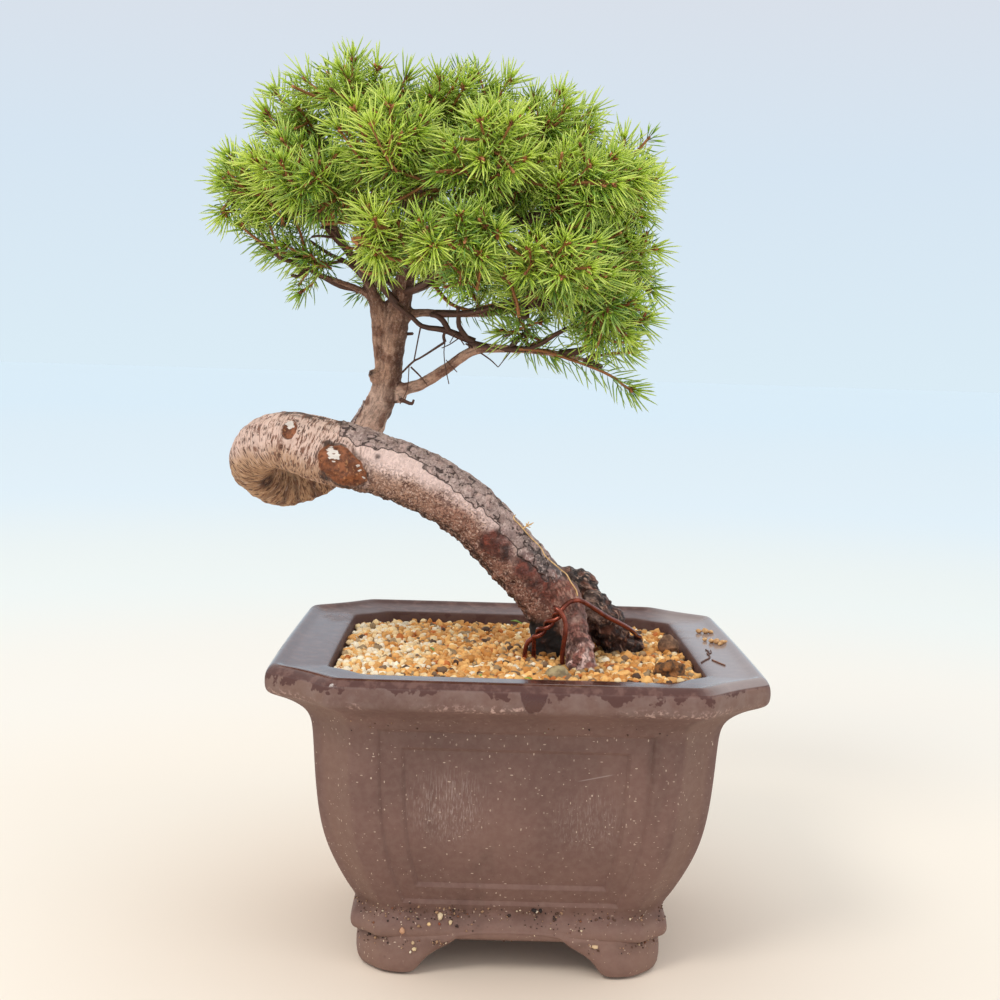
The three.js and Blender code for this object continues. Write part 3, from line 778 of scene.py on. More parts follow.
# Old cuts, knobs and swellings as short fat runs.
knobs = [
    [(-53.8, 27, 212.5, 5.7), (-53, 26, 217, 5.9)],
    [(-60, 22, 222, 3), (-62.2, 18.5, 223.8, 1.7)],
    [(12.5, -2, 144.5, 5.5), (17.5, 0, 142.6, 5.8), (22, 1, 141, 5.8)],
    [(-57, 21, 246, 5.4), (-50, 18, 252, 5.2)],
    [(22, 1, 140.6, 5.8), (27, 2, 140.8, 5.6), (30.6, 3, 138.4, 4.6)],
    [(28, -1, 135, 6), (36, 0, 126, 5.6), (40, 2, 119, 5.2)],
    [(46, 8, 117, 4.4), (50.5, 12, 112, 4)],
    [(-71, -16.5, 189.5, 6), (-69, -17.2, 186, 6), (-64.5, -16.4, 183.4, 4.6)],
    [(-38.6, -9.6, 170.6, 2.6), (-36.4, -10, 170.4, 2.4)],
    [(27, -20, 104, 8), (22, -24, 101, 7)],
]


def smooth_route(route, steps):
    """The route's points joined by a smooth curve that bends evenly, with steps to each stretch."""
    points = [np.array(point, float) for point in route]
    points = [2 * points[0] - points[1]] + points + [2 * points[-1] - points[-2]]
    smooth = []
    for before, start, end, after in zip(points, points[1:], points[2:], points[3:]):
        gaps = [max(np.linalg.norm((b - a)[:3]) ** 0.5, 0.01)
                for a, b in ((before, start), (start, end), (end, after))]
        leave = ((start - before) / gaps[0] - (end - before) / (gaps[0] + gaps[1])
                 + (end - start) / gaps[1]) * gaps[1]
        arrive = ((end - start) / gaps[1] - (after - start) / (gaps[1] + gaps[2])
                  + (after - end) / gaps[2]) * gaps[1]
        for t in np.arange(steps) / steps:
            smooth.append((2 * t**3 - 3 * t**2 + 1) * start + (t**3 - 2 * t**2 + t) * leave
                          + (3 * t**2 - 2 * t**3) * end + (t**3 - t**2) * arrive)
    smooth.append(points[-2])
    return np.array(smooth)


def round_runs(name, routes, roundness):
    """Round runs along smooth routes of points x, y, z and radius, as one mesh with closed ends."""
    curve = bpy.data.curves.new(name, "CURVE")
    curve.dimensions = "3D"
    curve.bevel_depth = 0.001
    curve.bevel_resolution = roundness
    curve.use_fill_caps = True
    for route in routes:
        spline = curve.splines.new("POLY")
        spline.points.add(len(route) - 1)
        for point, (x, y, z, radius) in zip(spline.points, route):
            point.co = (*place(x, y, z), 1)
            point.radius = max(radius, 0.2)
    piece = bpy.data.objects.new(name, curve)
    bpy.context.scene.collection.objects.link(piece)
    pick_only(piece)
    bpy.ops.object.convert(target="MESH")
    return bpy.context.object


run_steps, knob_steps, run_roundness = 8, 5, 6
trunk_smooth = smooth_route(trunk_route, run_steps)
limb_smooth = [smooth_route(route, run_steps) for route in limb_routes.values()]
root_smooth = [smooth_route(route, run_steps) for route in root_routes]
wood = round_runs("trunk_and_roots", [trunk_smooth, *limb_smooth, *root_smooth]
                  + [smooth_route(route, knob_steps) for route in knobs], run_roundness)
bark_grain = 0.00082
apply_modifier(wood, "REMESH", mode="VOXEL", voxel_size=bark_grain)
apply_modifier(wood, "SMOOTH", factor=0.5, iterations=5)


def run_frames(route):
    """Centres, radii, lengths run so far, and directions along and across, for each step."""
    centres = route[:, :3]
    along = np.gradient(centres, axis=0)
    along /= np.linalg.norm(along, axis=1)[:, None]
    across = [np.array((0.1, 0.9, 0.42))]
    for direction in along:
        side = across[-1] - direction * (across[-1] @ direction)
        across.append(side / np.linalg.norm(side))
    lengths = np.concatenate(([0], np.cumsum(np.linalg.norm(np.diff(centres, axis=0), axis=1))))
    across = np.array(across[1:])
    return centres, route[:, 3], lengths, along, across, np.cross(along, across)


# Every corner of the wood finds the run it belongs to. Along that run it has a straightened
# place, for bark marks that lie across the wood, and a side: 1 on top, -1 underneath.
places, normals = mesh_places(wood)
runs = [run_frames(run) for run in (trunk_smooth, *limb_smooth, *root_smooth)]
centres, radii, lengths, along, across, third = (np.concatenate(part) for part in zip(*runs))
# Each run's lengths start far past the last one's, so that their marks don't repeat.
length_step = 700
lengths = lengths + length_step * np.repeat(np.arange(len(runs)), [len(run[0]) for run in runs])
owner = np.empty(len(places), int)
at_once = 4000
for start in range(0, len(places), at_once):
    some = places[start:start + at_once]
    gaps = np.linalg.norm(some[:, None, :] - centres[None, :, :], axis=2) - radii[None, :]
    owner[start:start + at_once] = gaps.argmin(axis=1)
offset = places - centres[owner]
run_length = lengths[owner] + (offset * along[owner]).sum(axis=1)
straight = np.stack([run_length, (offset * across[owner]).sum(axis=1),
                     (offset * third[owner]).sum(axis=1)], axis=1)
on_trunk = owner < len(trunk_smooth)
upward = np.array((0.0, 0.0, 1.0)) - along[owner] * along[owner][:, 2:3]
upward /= np.linalg.norm(upward, axis=1)[:, None] + 1e-6
outward = offset / (np.linalg.norm(offset, axis=1)[:, None] + 1e-6)
topside = (outward * upward).sum(axis=1)


def rough(points, size, seed=0):
    """Soft random swelling between about -1 and 1, with lumps of the given size."""
    return np.array([noise.noise(Vector(p / size) + Vector((seed * 7.3, seed * 3.1, seed * 1.7)))
                     for p in points])


def near(point, reach, softness=0.5):
    """A share that is 1 close to a point and runs out at its reach."""
    gap = np.linalg.norm(places - np.array(point), axis=1)
    return 1 - ease(gap, reach * (1 - softness), reach)


def oval_gap(point, long_way, long_reach, short_reach):
    """How far out from an oval's middle each corner is, 1 at its uneven edge."""
    offset = places - np.array(point)
    run = offset @ (np.array(long_way) / np.linalg.norm(long_way))
    other = np.sqrt(np.maximum((offset**2).sum(axis=1) - run**2, 0))
    return np.sqrt((run / long_reach) ** 2 + (other / short_reach) ** 2) + 0.12 * middling + 0.03 * grain


x, y, z = places.T
broad = rough(places, 9)
middling = rough(places, 3.4, 1)
fine = rough(straight * (1.0, 0.55, 0.55), 1.5, 2)
grain = rough(places, 1.9, 18)

# Plates of old bark over the top of the leaning trunk, split by cracks.
plate_reach = (ease(x, -80, -62) * (1 - ease(x, 6, 30)) * (1 - ease(z, 209, 215)) * ease(z, 124, 136)
               * on_trunk)
plate_border = np.interp(x, [-80, -72, -64, -56, -46, -36, -29, -16, -6, 0, 8, 18],
                         [1.0, 0.72, 0.44, 0.52, 0.6, 0.46, 0.3, 0.24, 0.2, 0.12, 0.32, 0.45])
plate_field = np.minimum(topside + 0.16 * broad + 0.2 * middling - plate_border, plate_reach * 2 - 1)
plates = ease(plate_field, 0, 0.07)
plate_edge = np.ones(len(places))
for i in np.flatnonzero(plate_field > -0.1):
    cell = straight[i] / (7.4, 4.6, 4.6) + 0.3 * middling[i] + 0.2 * fine[i]
    gaps, _ = noise.voronoi(Vector(cell))
    plate_edge[i] = gaps[1] - gaps[0]
crack = plates * (1 - ease(plate_edge, 0.02, 0.1))

# Tight wrinkles across the curl, old scars, and the rough wet foot.
trunk_length = runs[0][2]
curl_start, curl_end = np.interp([8, 15], np.arange(len(trunk_route)), trunk_length[::run_steps])
stem_share = on_trunk * ease(run_length, curl_end - 24, curl_end - 6) + (~on_trunk) * ease(z, 160, 190)
curl = on_trunk * ease(run_length, curl_start, curl_start + 25) * (1 - stem_share)
ripple = (np.sin(run_length * 2.1 + 2.6 * rough(places, 6, 3)) * (0.6 + 0.6 * middling)
          + 0.8 * rough(straight * (1.0, 0.22, 0.22), 1.3, 14)) * curl
fold = curl * ease(188 - z, 0, 12) * np.sin(run_length * 0.95 + 2.2 * broad)
foot = 1 - ease(z + 5 * broad, 122, 146)
front_run = on_trunk * (1 - ease(run_length, curl_start - 22, curl_start))
side_tone = topside + 0.25 * broad
stippled = np.maximum(front_run * ease(-side_tone, -0.35, 0.3), foot) * (1 - plates)
small_scar_gap = np.linalg.norm((places - (-90.2, -18.6, 200.8)) * (1, 1, 0.8), axis=1) / 3.1
small_scar = 1 - ease(small_scar_gap, 0.85, 1)
small_scar_lip = ease(small_scar_gap, 0.9, 1.05) * (1 - ease(small_scar_gap, 1.1, 1.6))
scar_middle, scar_long_way = (-69.3, -22.6, 187.4), (0.78, 0, -0.62)
big_scar_gap = oval_gap(scar_middle, scar_long_way, 11.2, 7)
big_scar = 1 - ease(big_scar_gap, 0.85, 1)
scar_lip = ease(big_scar_gap, 0.9, 1.05) * (1 - ease(big_scar_gap, 1.08, 1.35))
old_crown = [(26, 2, 141), (31, 3, 134), (37, 3, 125), (43, 7, 116)]
right_block = np.max([near(spot, 12, 0.3) for spot in old_crown], axis=0)
right_block = right_block * ease(x + 0.55 * (z - 140), 18, 21) * ease(z, 100, 108)
# Small pits, dented a little and painted dark below as painted shade in their depth.
pit_places = [(-55.6, -22, 191.8), (-47.4, -21, 188.1), (-36.8, -20, 178.5), (-22, -19, 173),
              (-20.5, -18, 170.1), (-4.8, -15, 146.9), (-30, -19, 182), (-2, -14, 143)]
pits = np.max([near(spot, 1.7, 0.6) for spot in pit_places], axis=0)
lower_edge = front_run * ease(-topside, 0.6, 0.85)
front_root = near((24.2, -30, 117), 17, 0.4) * ease(-y, 17, 22)
saddle = near((18.5, -17.5, 137.5), 11, 0.5)
# The hollow under the trunk, by the wire and the front root, which is painted near black below as painted
# shade.
hollow = ease(132 - z, 0, 6) * (1 - ease(x, 15.5, 19)) * ease(128 - z, -6, 2)
hollow = np.maximum(hollow * ease(rough(places, 5, 10) + 0.45, 0, 0.3),
                    near((18, -10, 117), 11, 0.5) * (1 - ease(-y, 17, 22)))
root_ridges = front_root * rough(straight * (1, 0.4, 0.4), 2.4, 12)
lift = (0.42 * broad + 0.2 * middling + 0.1 * fine + 0.16 * ripple + 0.2 * fold
        + plates * (0.5 + 0.3 * middling + 0.3 * grain) - 0.5 * crack + foot * 0.45 * middling
        + stippled * (0.34 * grain + 0.2 * middling) + lower_edge * (0.9 * np.abs(grain) + 0.5 * middling)
        + stem_share * (0.3 * grain + 0.3 * middling) + (~on_trunk) * foot * 0.4 * grain
        + right_block * (1.5 * rough(places, 5, 4) + 0.9 * middling + 0.6 * grain) + 0.7 * root_ridges
        - 1.3 * small_scar + 0.8 * small_scar_lip - big_scar * (0.9 + 0.9 * middling - 0.4 * grain)
        + 0.9 * scar_lip
        - 0.5 * pits)
thin = ease(radii[owner], 0.8, 6)
places = places + normals * (lift * (0.15 + 0.85 * thin))[:, None]
wood.data.vertices.foreach_set("co", from_millimetres(places))
wood.data.update()


def tint(colour, share):
    """Blends a colour, as the eye gives it, into the bark where the share asks for it."""
    global colours
    colours = colours + (srgb(*colour) - colours) * np.clip(share, 0, 1)[:, None]


# Colour by place, which the bark's material then marks more finely.
colours = np.tile(srgb(226, 192, 176), (len(places), 1))
tint((192, 148, 114), 0.85 * ease(-side_tone, 0.0, 0.6) * on_trunk)
tint((184, 140, 118), front_run * ease(-side_tone, -0.1, 0.5) * 0.85)
tint((160, 106, 88), front_run * ease(-side_tone, -0.25, 0.3) * ease(x, -48, -22) * 0.6)
tint((250, 218, 208), front_run * ease(side_tone, -0.3, 0.15) * ease(-x, -10, 10) * 0.95)
tint((206, 162, 118), curl * ease(192 - z, 0, 12) * 0.8)
tint((188, 146, 110), curl * ease(y, -6, 6) * ease(190 - z, 0, 8) * 0.7)
tint((112, 84, 68), curl * ease(y, -8, 4) * ease(190 - z, 0, 6) * ease(-fold, 0.15, 0.7)
     * ease(x, -112, -96) * 0.8)
tint((54, 38, 30), near((-102.9, 11, 177.8), 5.5, 0.7) * ease(middling, -0.5, 0))
tint((210, 162, 134), stem_share * 0.95)
tint((236, 200, 180), stem_share * ease(224 - z, 0, 14) * 0.8)
tint((126, 80, 58), stem_share * ease(rough(places, 5, 5), 0.05, 0.35) * 0.8)
tint((118, 78, 58), stem_share * ease(z, 238, 254) * 0.85)
# The stem's right side is painted darker: painted shade.
tint((84, 52, 38), stem_share * ease(x - np.interp(z, [206, 228, 256], [-57.5, -55.5, -50]), 0, 3)
     * on_trunk * (0.75 + 0.3 * middling))
tint((60, 38, 30), near((-62.8, 17.8, 223.8), 2.6, 0.6))
tint((184, 158, 150), plates)
tint((144, 118, 110), plates * ease(rough(places, 4, 6), -0.05, 0.5) * 0.75)
tint((214, 178, 168), plates * ease(rough(places, 3, 19), 0.1, 0.5) * 0.6)
tint((166, 116, 96), on_trunk * ease(159 - z, 0, 12) * (1 - plates) * 0.8)
wet_places = [((-9.5, -18, 159.2), 7), ((-6, -18, 156), 5), ((3.4, -16, 150.2), 6),
              ((8.7, -15.8, 144.8), 7), ((13.6, -14.4, 140.7), 7), ((4.5, -12, 153), 4), ((15, -9, 143), 5)]
wet = np.max([near(spot, size * 1.25, 0.6) for spot, size in wet_places], axis=0)
wet = np.maximum(wet, ease(rough(places, 10, 7) + ease(126 - z, -8, 10) * 1.3, 0.6, 0.9))
wet = np.maximum(wet, ease(topside, 0.3, 0.7) * ease(154 - z, 0, 8) * 0.8) * ease(170 - z, 0, 8)
wet = np.clip(wet * (1 + 0.7 * middling + 0.3 * grain), 0, 1)
tint((100, 42, 32), wet * 0.95 * (1 - 0.45 * plates))
tint((48, 28, 24), wet * ease(rough(places, 4, 8), 0, 0.3) * 0.85)
tint((168, 84, 64), wet * ease(rough(places, 2.4, 20), 0.12, 0.4) * 0.6)
slate = plates * ease(x, -2, 6) * ease(rough(places, 5, 21), -0.2, 0.1)
tint((80, 74, 72), slate * 0.85)
tint((52, 37, 31), right_block * 0.95)
tint((23, 18, 17), right_block * ease(rough(places, 4, 9) + 0.15, 0, 0.3) * 0.9)
tint((134, 80, 58), right_block * ease(rough(places, 3.4, 15), 0.12, 0.45) * 0.75)
tint((170, 112, 78), near((33, -3, 143), 4, 0.5) * ease(grain, -0.3, 0.3) * 0.8)
# Painted shade: the hollow under the trunk is painted near black.
tint((28, 21, 19), hollow)
tint((156, 92, 74), saddle * (1 - 0.5 * wet) * 0.9)
tint((180, 116, 102), front_root * 0.9)
tint((252, 214, 204), front_root * ease(rough(straight, 3.4, 11) + 0.25 * grain + 0.12, 0, 0.25)
     * ease(126 - z, 0, 6) * 0.95)
tint((72, 42, 36), ease(-root_ridges, 0.08, 0.32) * 0.85)
tint((236, 178, 132), 0.6 * np.maximum(small_scar, big_scar))
tint((84, 60, 50), scar_lip * ease(middling, -0.35, 0.1) * ease(x, -75, -66) * 0.85)
tint((226, 192, 180), scar_lip * ease(-middling, 0.05, 0.3) * ease(x, -74, -68) * 0.7)
# A hole by the big scar and the pits are painted near black: painted shade in their depth.
tint((36, 27, 24), near((-74.4, -21.5, 195.2), 2, 0.5) + 0.8 * pits)
# A painted shadow along the big scar's lower left edge.
tint((40, 28, 24), near((-76, -20, 183), 3.4, 0.5) * ease(big_scar_gap, 0.85, 1.1))
top_edge = ease(topside, 0.82, 0.93) * ease(x, -98, -93) * (1 - ease(x, -72, -66)) * ease(z, 198, 203)
tint((60, 47, 41), top_edge * ease(rough(places * (0.5, 1, 1), 2, 24), -0.02, 0.12) * 0.9)
tint((54, 36, 29), lower_edge * ease(-topside, 0.74, 0.88) * ease(rough(places, 2.5, 17), -0.4, 0) * 0.9)
colours = np.clip(colours * (1 + 0.1 * middling + 0.08 * fine + 0.06 * grain)[:, None], 0.004, 1)


def as_colour(colours):
    return np.concatenate([colours, np.ones((len(colours), 1))], axis=1)


keep_on_corners(wood, "bark_colour", as_colour(colours))
keep_on_corners(wood, "straightened", straight / 1000)
keep_on_corners(wood, "wetness", np.clip(wet + right_block * 0.35 + ease(118 - z, -4, 4) * 0.3
                                         + 0.6 * small_scar + 0.4 * big_scar, 0, 1) * (1 - hollow))
unscarred = (1 - big_scar) * (1 - small_scar)
keep_on_corners(wood, "plain_bark", (1 - plates) * (1 - foot) * (1 - stem_share * 0.85) * on_trunk
                * unscarred * (1 - 0.6 * stippled) * (1 - 0.88 * front_run))
keep_on_corners(wood, "scar_gap", np.minimum(big_scar_gap, small_scar_gap + 0.1 * middling))
# White resin on the scars; the two small spots at the big scar's right are painted glints, painted
# highlights.
resin_and_glint_spots = [((-90.3, -16.3, 202.9), 2.4), ((-74, -22.4, 192.6), 3.1), ((-71.6, -22.4, 191.4), 2.7),
               ((-72.6, -22.6, 189.6), 2), ((-63, -22, 187), 1.7), ((-61.2, -21, 183), 1.3)]
keep_on_corners(wood, "resin_and_glints", np.max([1 - np.linalg.norm(places - spot, axis=1) / size
                                       for spot, size in resin_and_glint_spots], axis=0))
keep_on_corners(wood, "plate_field", plate_field)
keep_on_corners(wood, "plate_edge", plate_edge)
stippled = np.clip(stippled + stem_share * 0.3 + 0.4 * saddle + 0.2 * front_run, 0, 1)
keep_on_corners(wood, "stippled", stippled * unscarred * (1 - hollow) * (1 - plates))
furrowed = np.clip(stem_share * 0.5 + 0.7 * front_root + right_block + 0.8 * saddle, 0, 1)
keep_on_corners(wood, "furrowed", furrowed)
bpy.ops.object.shade_smooth()

# The bark's fine marks: short dark dashes and wrinkles that lie across the pale bark, dark stipple
# and pale flakes low on the trunk, furrows up the stem and roots, crisp cracks round the plates,
# the two scars with their orange wood, white resin and small painted highlights, and a wet shine.
bark = Material("bark")
bark.colour = bark.node("Attribute", {"attribute_name": "bark_colour"})
mark, blots, kept_share = bark.mark, bark.blots, bark.kept_share
along_bark = bark.node("Attribute", {"attribute_name": "straightened"}).out("Vector")
wander = bark.noise(160.0, 3.0)
marks_place = on_places("ADD", along_bark, _1=on_places("SCALE", wander.out("Color"), _3=0.0022))
plain_share, stipple_share = kept_share("plain_bark"), kept_share("stippled")
wrinkles = bark.noise(1.0, 4.0, bark.laid((1500.0, 230.0, 230.0), marks_place), Roughness=0.65)
wrinkle_lines = wrinkles.between(0.48, 0.6) * plain_share
mark(wrinkle_lines * blots(260.0, 0.3, 0.55) * 0.95, (126, 82, 62))
mark(wrinkles.between(0.44, 0.34) * plain_share * 0.4, (240, 216, 204))
all_dashes = []
for stretch, share in (((1700.0, 380.0, 380.0), 0.52), ((900.0, 240.0, 240.0), 0.24)):
    dash_cells = bark.node("TexVoronoi", Vector=bark.laid(stretch, marks_place), Scale=1.0)
    dash_draw = bark.node("SeparateColor", _0=dash_cells.out("Color"))
    chosen = calculate("LESS_THAN", dash_draw, share)
    all_dashes.append(dash_cells.out("Distance").between(0.42, 0.24) * chosen)
dashes = largest(*all_dashes) * plain_share
mark(dashes * 0.85, (82, 52, 40))
stipple = largest(blots(1150.0, 0.5, 0.58), blots(480.0, 0.5, 0.6) * 0.8) * stipple_share
mark(stipple * (blots(170.0, 0.35, 0.6) * 0.5 + 0.4), (84, 44, 34))
dry = 1.0 - kept_share("wetness")
mark(blots(960.0, 0.53, 0.62) * stipple_share * dry * 0.7, (240, 200, 178))
furrow_share = kept_share("furrowed")
furrow_noise = bark.noise(1.0, 5.0, bark.laid((170.0, 900.0, 900.0), marks_place), Roughness=0.65)
furrows = furrow_noise.between(0.5, 0.62) * furrow_share
mark(furrows * 0.75, (66, 40, 32))
mark(furrow_noise.between(0.46, 0.36) * furrow_share * 0.5, (224, 182, 158))

# The plates: their crisp border and cracks come from the distances kept on the mesh's corners.
fray = wander - 0.5
plate_depth = kept_share("plate_field") + fray * 0.12
plate_share = plate_depth.between(0.0, 0.025)
cracks = (kept_share("plate_edge") + fray * 0.12).between(0.075, 0.03)
mark(blots(1100.0, 0.5, 0.6) * plate_share * 0.5, (104, 80, 73))
mark(blots(640.0, 0.54, 0.62) * plate_share * 0.6, (222, 196, 186))
mark(wrinkles.between(0.5, 0.6) * plate_share * 0.35, (98, 76, 70))
plate_lines = largest(cracks, plate_depth.between(0.06, 0.025)) * plate_share
mark(plate_lines * 0.85, (52, 36, 32))

# The scars: a crisp dark rim, orange and brown wood inside, and hard white resin on it, with small white
# spots that are painted glints.
scar_depth = kept_share("scar_gap") + fray * 0.2
scar_wood = scar_depth.between(1.0, 0.94)
mark(scar_wood * 0.9, (156, 84, 40))
mark(scar_wood * blots(190.0, 0.4, 0.6) * 0.8, (100, 54, 30))
mark(scar_wood * blots(700.0, 0.5, 0.6) * 0.6, (78, 42, 28))
mark(scar_wood * blots(560.0, 0.58, 0.66) * 0.6, (206, 148, 98))
near_scar = scar_depth.between(1.08, 1.02)
mark(scar_depth.between(0.93, 0.99) * near_scar * blots(110.0, 0.4, 0.54) * 0.85, (60, 42, 35))
resin_and_glint_gap = kept_share("resin_and_glints")
resin_and_glint_noise = bark.noise(1.0, 3.0, bark.laid((330.0, 330.0, 800.0), Rotation=(0, 0.5, 0)))
resin_and_glints = (resin_and_glint_gap + (resin_and_glint_noise - 0.5) * 2.4).between(0.36, 0.48)
mark(resin_and_glints * resin_and_glint_gap.between(0.0, 0.1) * near_scar * 0.93, (244, 234, 224))
relief = wrinkles * 0.7 - dashes * 0.5
for dent, depth in ((stipple, 1.0), (furrows, 1.1), (plate_lines, 1.6)):
    relief = relief - dent * depth
bark.dent(relief + bark.noise(520.0, 6.0, Roughness=0.7) * 1.3, 0.75, 0.0008)
bark.join(Roughness=dry * 0.48 + 0.34)
finish_piece(wood, bark, "bark", "tree_wood")


# The foliage grows on twenty-five side limbs, each with its own cushion of shoots. A cushion is
# given by its middle, its half sizes, the limb that carries it and how far along that limb.
cushions = [
    (-88, -28, 299, 23, 22, 18, "twin", 0.8), (-54, -40, 311, 24, 22, 19, "stem", 0.72),
    (-15, -42, 308, 25, 22, 19, "stem", 0.74), (22, -34, 297, 24, 22, 19, "stem", 0.66),
    (-63, -36, 276, 22, 20, 16, "twin", 0.6), (-27, -44, 274, 24, 22, 17, "stem", 0.5),
    (11, -41, 266, 25, 22, 18, "right_mid", 0.8), (34, -25, 249, 18, 19, 17, "right_low", 0.86),
    (-110, -3, 295, 16, 23, 20, "twin", 0.95), (-96, 3, 325, 16, 22, 16, "twin", 0.98),
    (-68, -5, 334, 21, 24, 16, "stem", 0.9), (-30, -4, 331, 23, 26, 14, "stem", 0.97),
    (8, -2, 323, 23, 26, 16, "stem", 0.86), (37, 2, 302, 18, 25, 21, "stem", 0.7),
    (40, 6, 270, 16, 23, 17, "right_mid", 0.98), (-94, 6, 272, 15, 18, 11, "left_low", 0.85),
    (31, -4, 229, 16, 18, 12, "right_low", 0.98), (2, 2, 243, 18, 21, 11, "right_low", 0.74),
    (-86, 33, 303, 23, 21, 19, "twin", 0.85), (-50, 42, 312, 24, 21, 19, "stem", 0.74),
    (-11, 43, 308, 25, 21, 19, "stem", 0.76), (24, 36, 293, 23, 21, 19, "stem", 0.62),
    (-62, 37, 276, 21, 20, 15, "stem", 0.52), (-25, 44, 274, 23, 21, 17, "stem", 0.5),
    (13, 39, 264, 22, 21, 17, "right_mid", 0.85),
]
crown_middle = np.array((-32, 0, 285))
# Shoot tips that stand out in the picture, as pixels of it. Each is taken to the crown's front.
tip_pixels = [
    (353, 59), (406, 78), (471, 78), (509, 81), (560, 94), (583, 97), (624, 142), (615, 183),
    (656, 180), (398, 170), (442, 142), (446, 167), (423, 196), (421, 219), (375, 218), (374, 285),
    (452, 271), (506, 276), (560, 276), (498, 234), (513, 199), (556, 218), (566, 243), (605, 205),
    (650, 290), (608, 311), (224, 180), (224, 214), (254, 161), (256, 210), (267, 112), (282, 162),
    (355, 108), (305, 79), (302, 97), (235, 159), (345, 175), (335, 157), (300, 180), (335, 158),
    (430, 105), (480, 120), (530, 110), (590, 130), (640, 215), (655, 250), (350, 195), (480, 160),
    (540, 160), (460, 215), (540, 190), (590, 165), (530, 250), (480, 255), (640, 270), (590, 255),
    (385, 95), (318, 140), (312, 213), (434, 245), (400, 250), (371, 125), (490, 95), (637, 178),
]
tip_spacing = 10
tip_depth = 6.5
chance = random.Random(7)
draw = np.random.default_rng(7)
cushion_middles = np.array([cushion[:3] for cushion in cushions], float)
cushion_sizes = np.array([cushion[3:6] for cushion in cushions], float)


def depth_in(point, shrink=0.0):
    """For each cushion, how far out in it the point lies: 1 on its skin, less inside."""
    return np.linalg.norm((point - cushion_middles) / (cushion_sizes - shrink), axis=1)


def crown_front(pixel):
    """The first point of the shoot tips' skin behind a pixel."""
    side, drop = (pixel[0] - picture_width / 2), (pixel[1] - picture_width / 2)
    ray = np.array(view_ahead * focal_pixels + view_right * side - view_up * drop)
    ray /= np.linalg.norm(ray)
    start = np.array(camera_place) * 1000 - (pot_x * 1000, pot_y * 1000, 0)
    sizes = cushion_sizes - tip_depth
    a, b = ray / sizes, (start - cushion_middles) / sizes
    half_b, square = (a * b).sum(axis=1), (a * a).sum(axis=1)
    inside = half_b**2 - square * ((b * b).sum(axis=1) - 1)
    if inside.max() < 0:
        closest = np.argmax(inside)
        return start + ray * (-half_b[closest] / square[closest])
    reach = np.where(inside >= 0, (-half_b - np.sqrt(np.maximum(inside, 0))) / square, np.inf)
    return start + ray * reach.min()


def in_picture(point):
    """The pixel at which a point shows."""
    gap = place(*point) - camera_place
    scale = focal_pixels / gap.dot(view_ahead)
    return picture_width / 2 + gap.dot(view_right) * scale, picture_width / 2 - gap.dot(view_up) * scale


# Where the sky shows between the shoots: the middle and half size of each gap as pixels of the
# picture, and the share of shoots that still grow there.
sky_gaps = [
    (335, 252, 36, 44, 0.0), (309, 130, 11, 14, 0.2), (291, 192, 9, 15, 0.2), (349, 215, 12, 18, 0.25),
    (298, 262, 16, 18, 0.25), (549, 326, 44, 22, 0.0), (575, 352, 50, 18, 0.0), (452, 299, 34, 12, 0.1),
    (646, 298, 16, 26, 0.3), (623, 345, 22, 22, 0.35), (262, 225, 18, 12, 0.5), (388, 300, 22, 12, 0.2),
]


def open_share(point):
    across, down = in_picture(point)
    shares = [share for x, y, wide, tall, share in sky_gaps
              if ((across - x) / wide) ** 2 + ((down - y) / tall) ** 2 < 1]
    return min(shares, default=1)


def skin_normal(point, index):
    normal = (point - cushion_middles[index]) / cushion_sizes[index] ** 2
    return normal / np.linalg.norm(normal)


tips = []


def add_tip(point, index):
    spare = min((np.linalg.norm(point - other) for other, _ in tips), default=99)
    if spare > tip_spacing:
        tips.append((point, index))


# The thin cushions, and the share of their shoots that grow.
airy = {15: 0.2, 16: 0.0, 17: 0.35, 4: 0.8, 8: 0.6, 9: 0.85}
tries_each = 150
for pixel in tip_pixels:
    point = crown_front(pixel)
    add_tip(point, int(np.argmin(depth_in(point))))
for index, cushion in enumerate(cushions):
    for _ in range(tries_each):
        direction = draw.normal(size=3)
        direction /= np.linalg.norm(direction)
        sunk = chance.uniform(0.9, 1.0)
        point = cushion_middles[index] + direction * (cushion_sizes[index] - tip_depth) * sunk
        beyond = point + 10 * skin_normal(point, index)
        in_others = np.delete(depth_in(point), index)
        buried = depth_in(beyond).min() < 0.8 or in_others.min() < 0.7
        underneath = direction[2] < -0.4 and chance.random() < 0.7
        grows = chance.random() < airy.get(index, 1) * open_share(point)
        if not buried and not underneath and grows:
            add_tip(point, index)

# Each cushion's limb runs from its parent to the cushion's middle; twigs branch from it to the
# shoots. All are drawn as runs of points with a radius.
stem_route = trunk_route[16:]
parents = {"stem": smooth_route(stem_route, 12),
           **{name: smooth_route(route, 12) for name, route in limb_routes.items()}}


def along_route(route, share):
    place_in = share * (len(route) - 1)
    low = min(int(place_in), len(route) - 2)
    return route[low][:3] + (route[low + 1][:3] - route[low][:3]) * (place_in - low)


limb_ends = []
old_runs, young_runs, bud_places = [], [], []
for (x, y, z, _, _, _, parent, share) in cushions:
    start = along_route(parents[parent], share)
    end = np.array((x, y, z), float)
    reach = np.linalg.norm(end - start)
    bend = (start + end) / 2
    bend[2] += np.clip((start[2] - z) * 0.25, -0.12 * reach, 0.12 * reach)
    bend += draw.normal(size=3) * 1.2
    old_runs.append(smooth_route([(*start, 1.7), (*bend, 1.3), (*end, 0.9)], 4))
    limb_ends.append((bend, end))

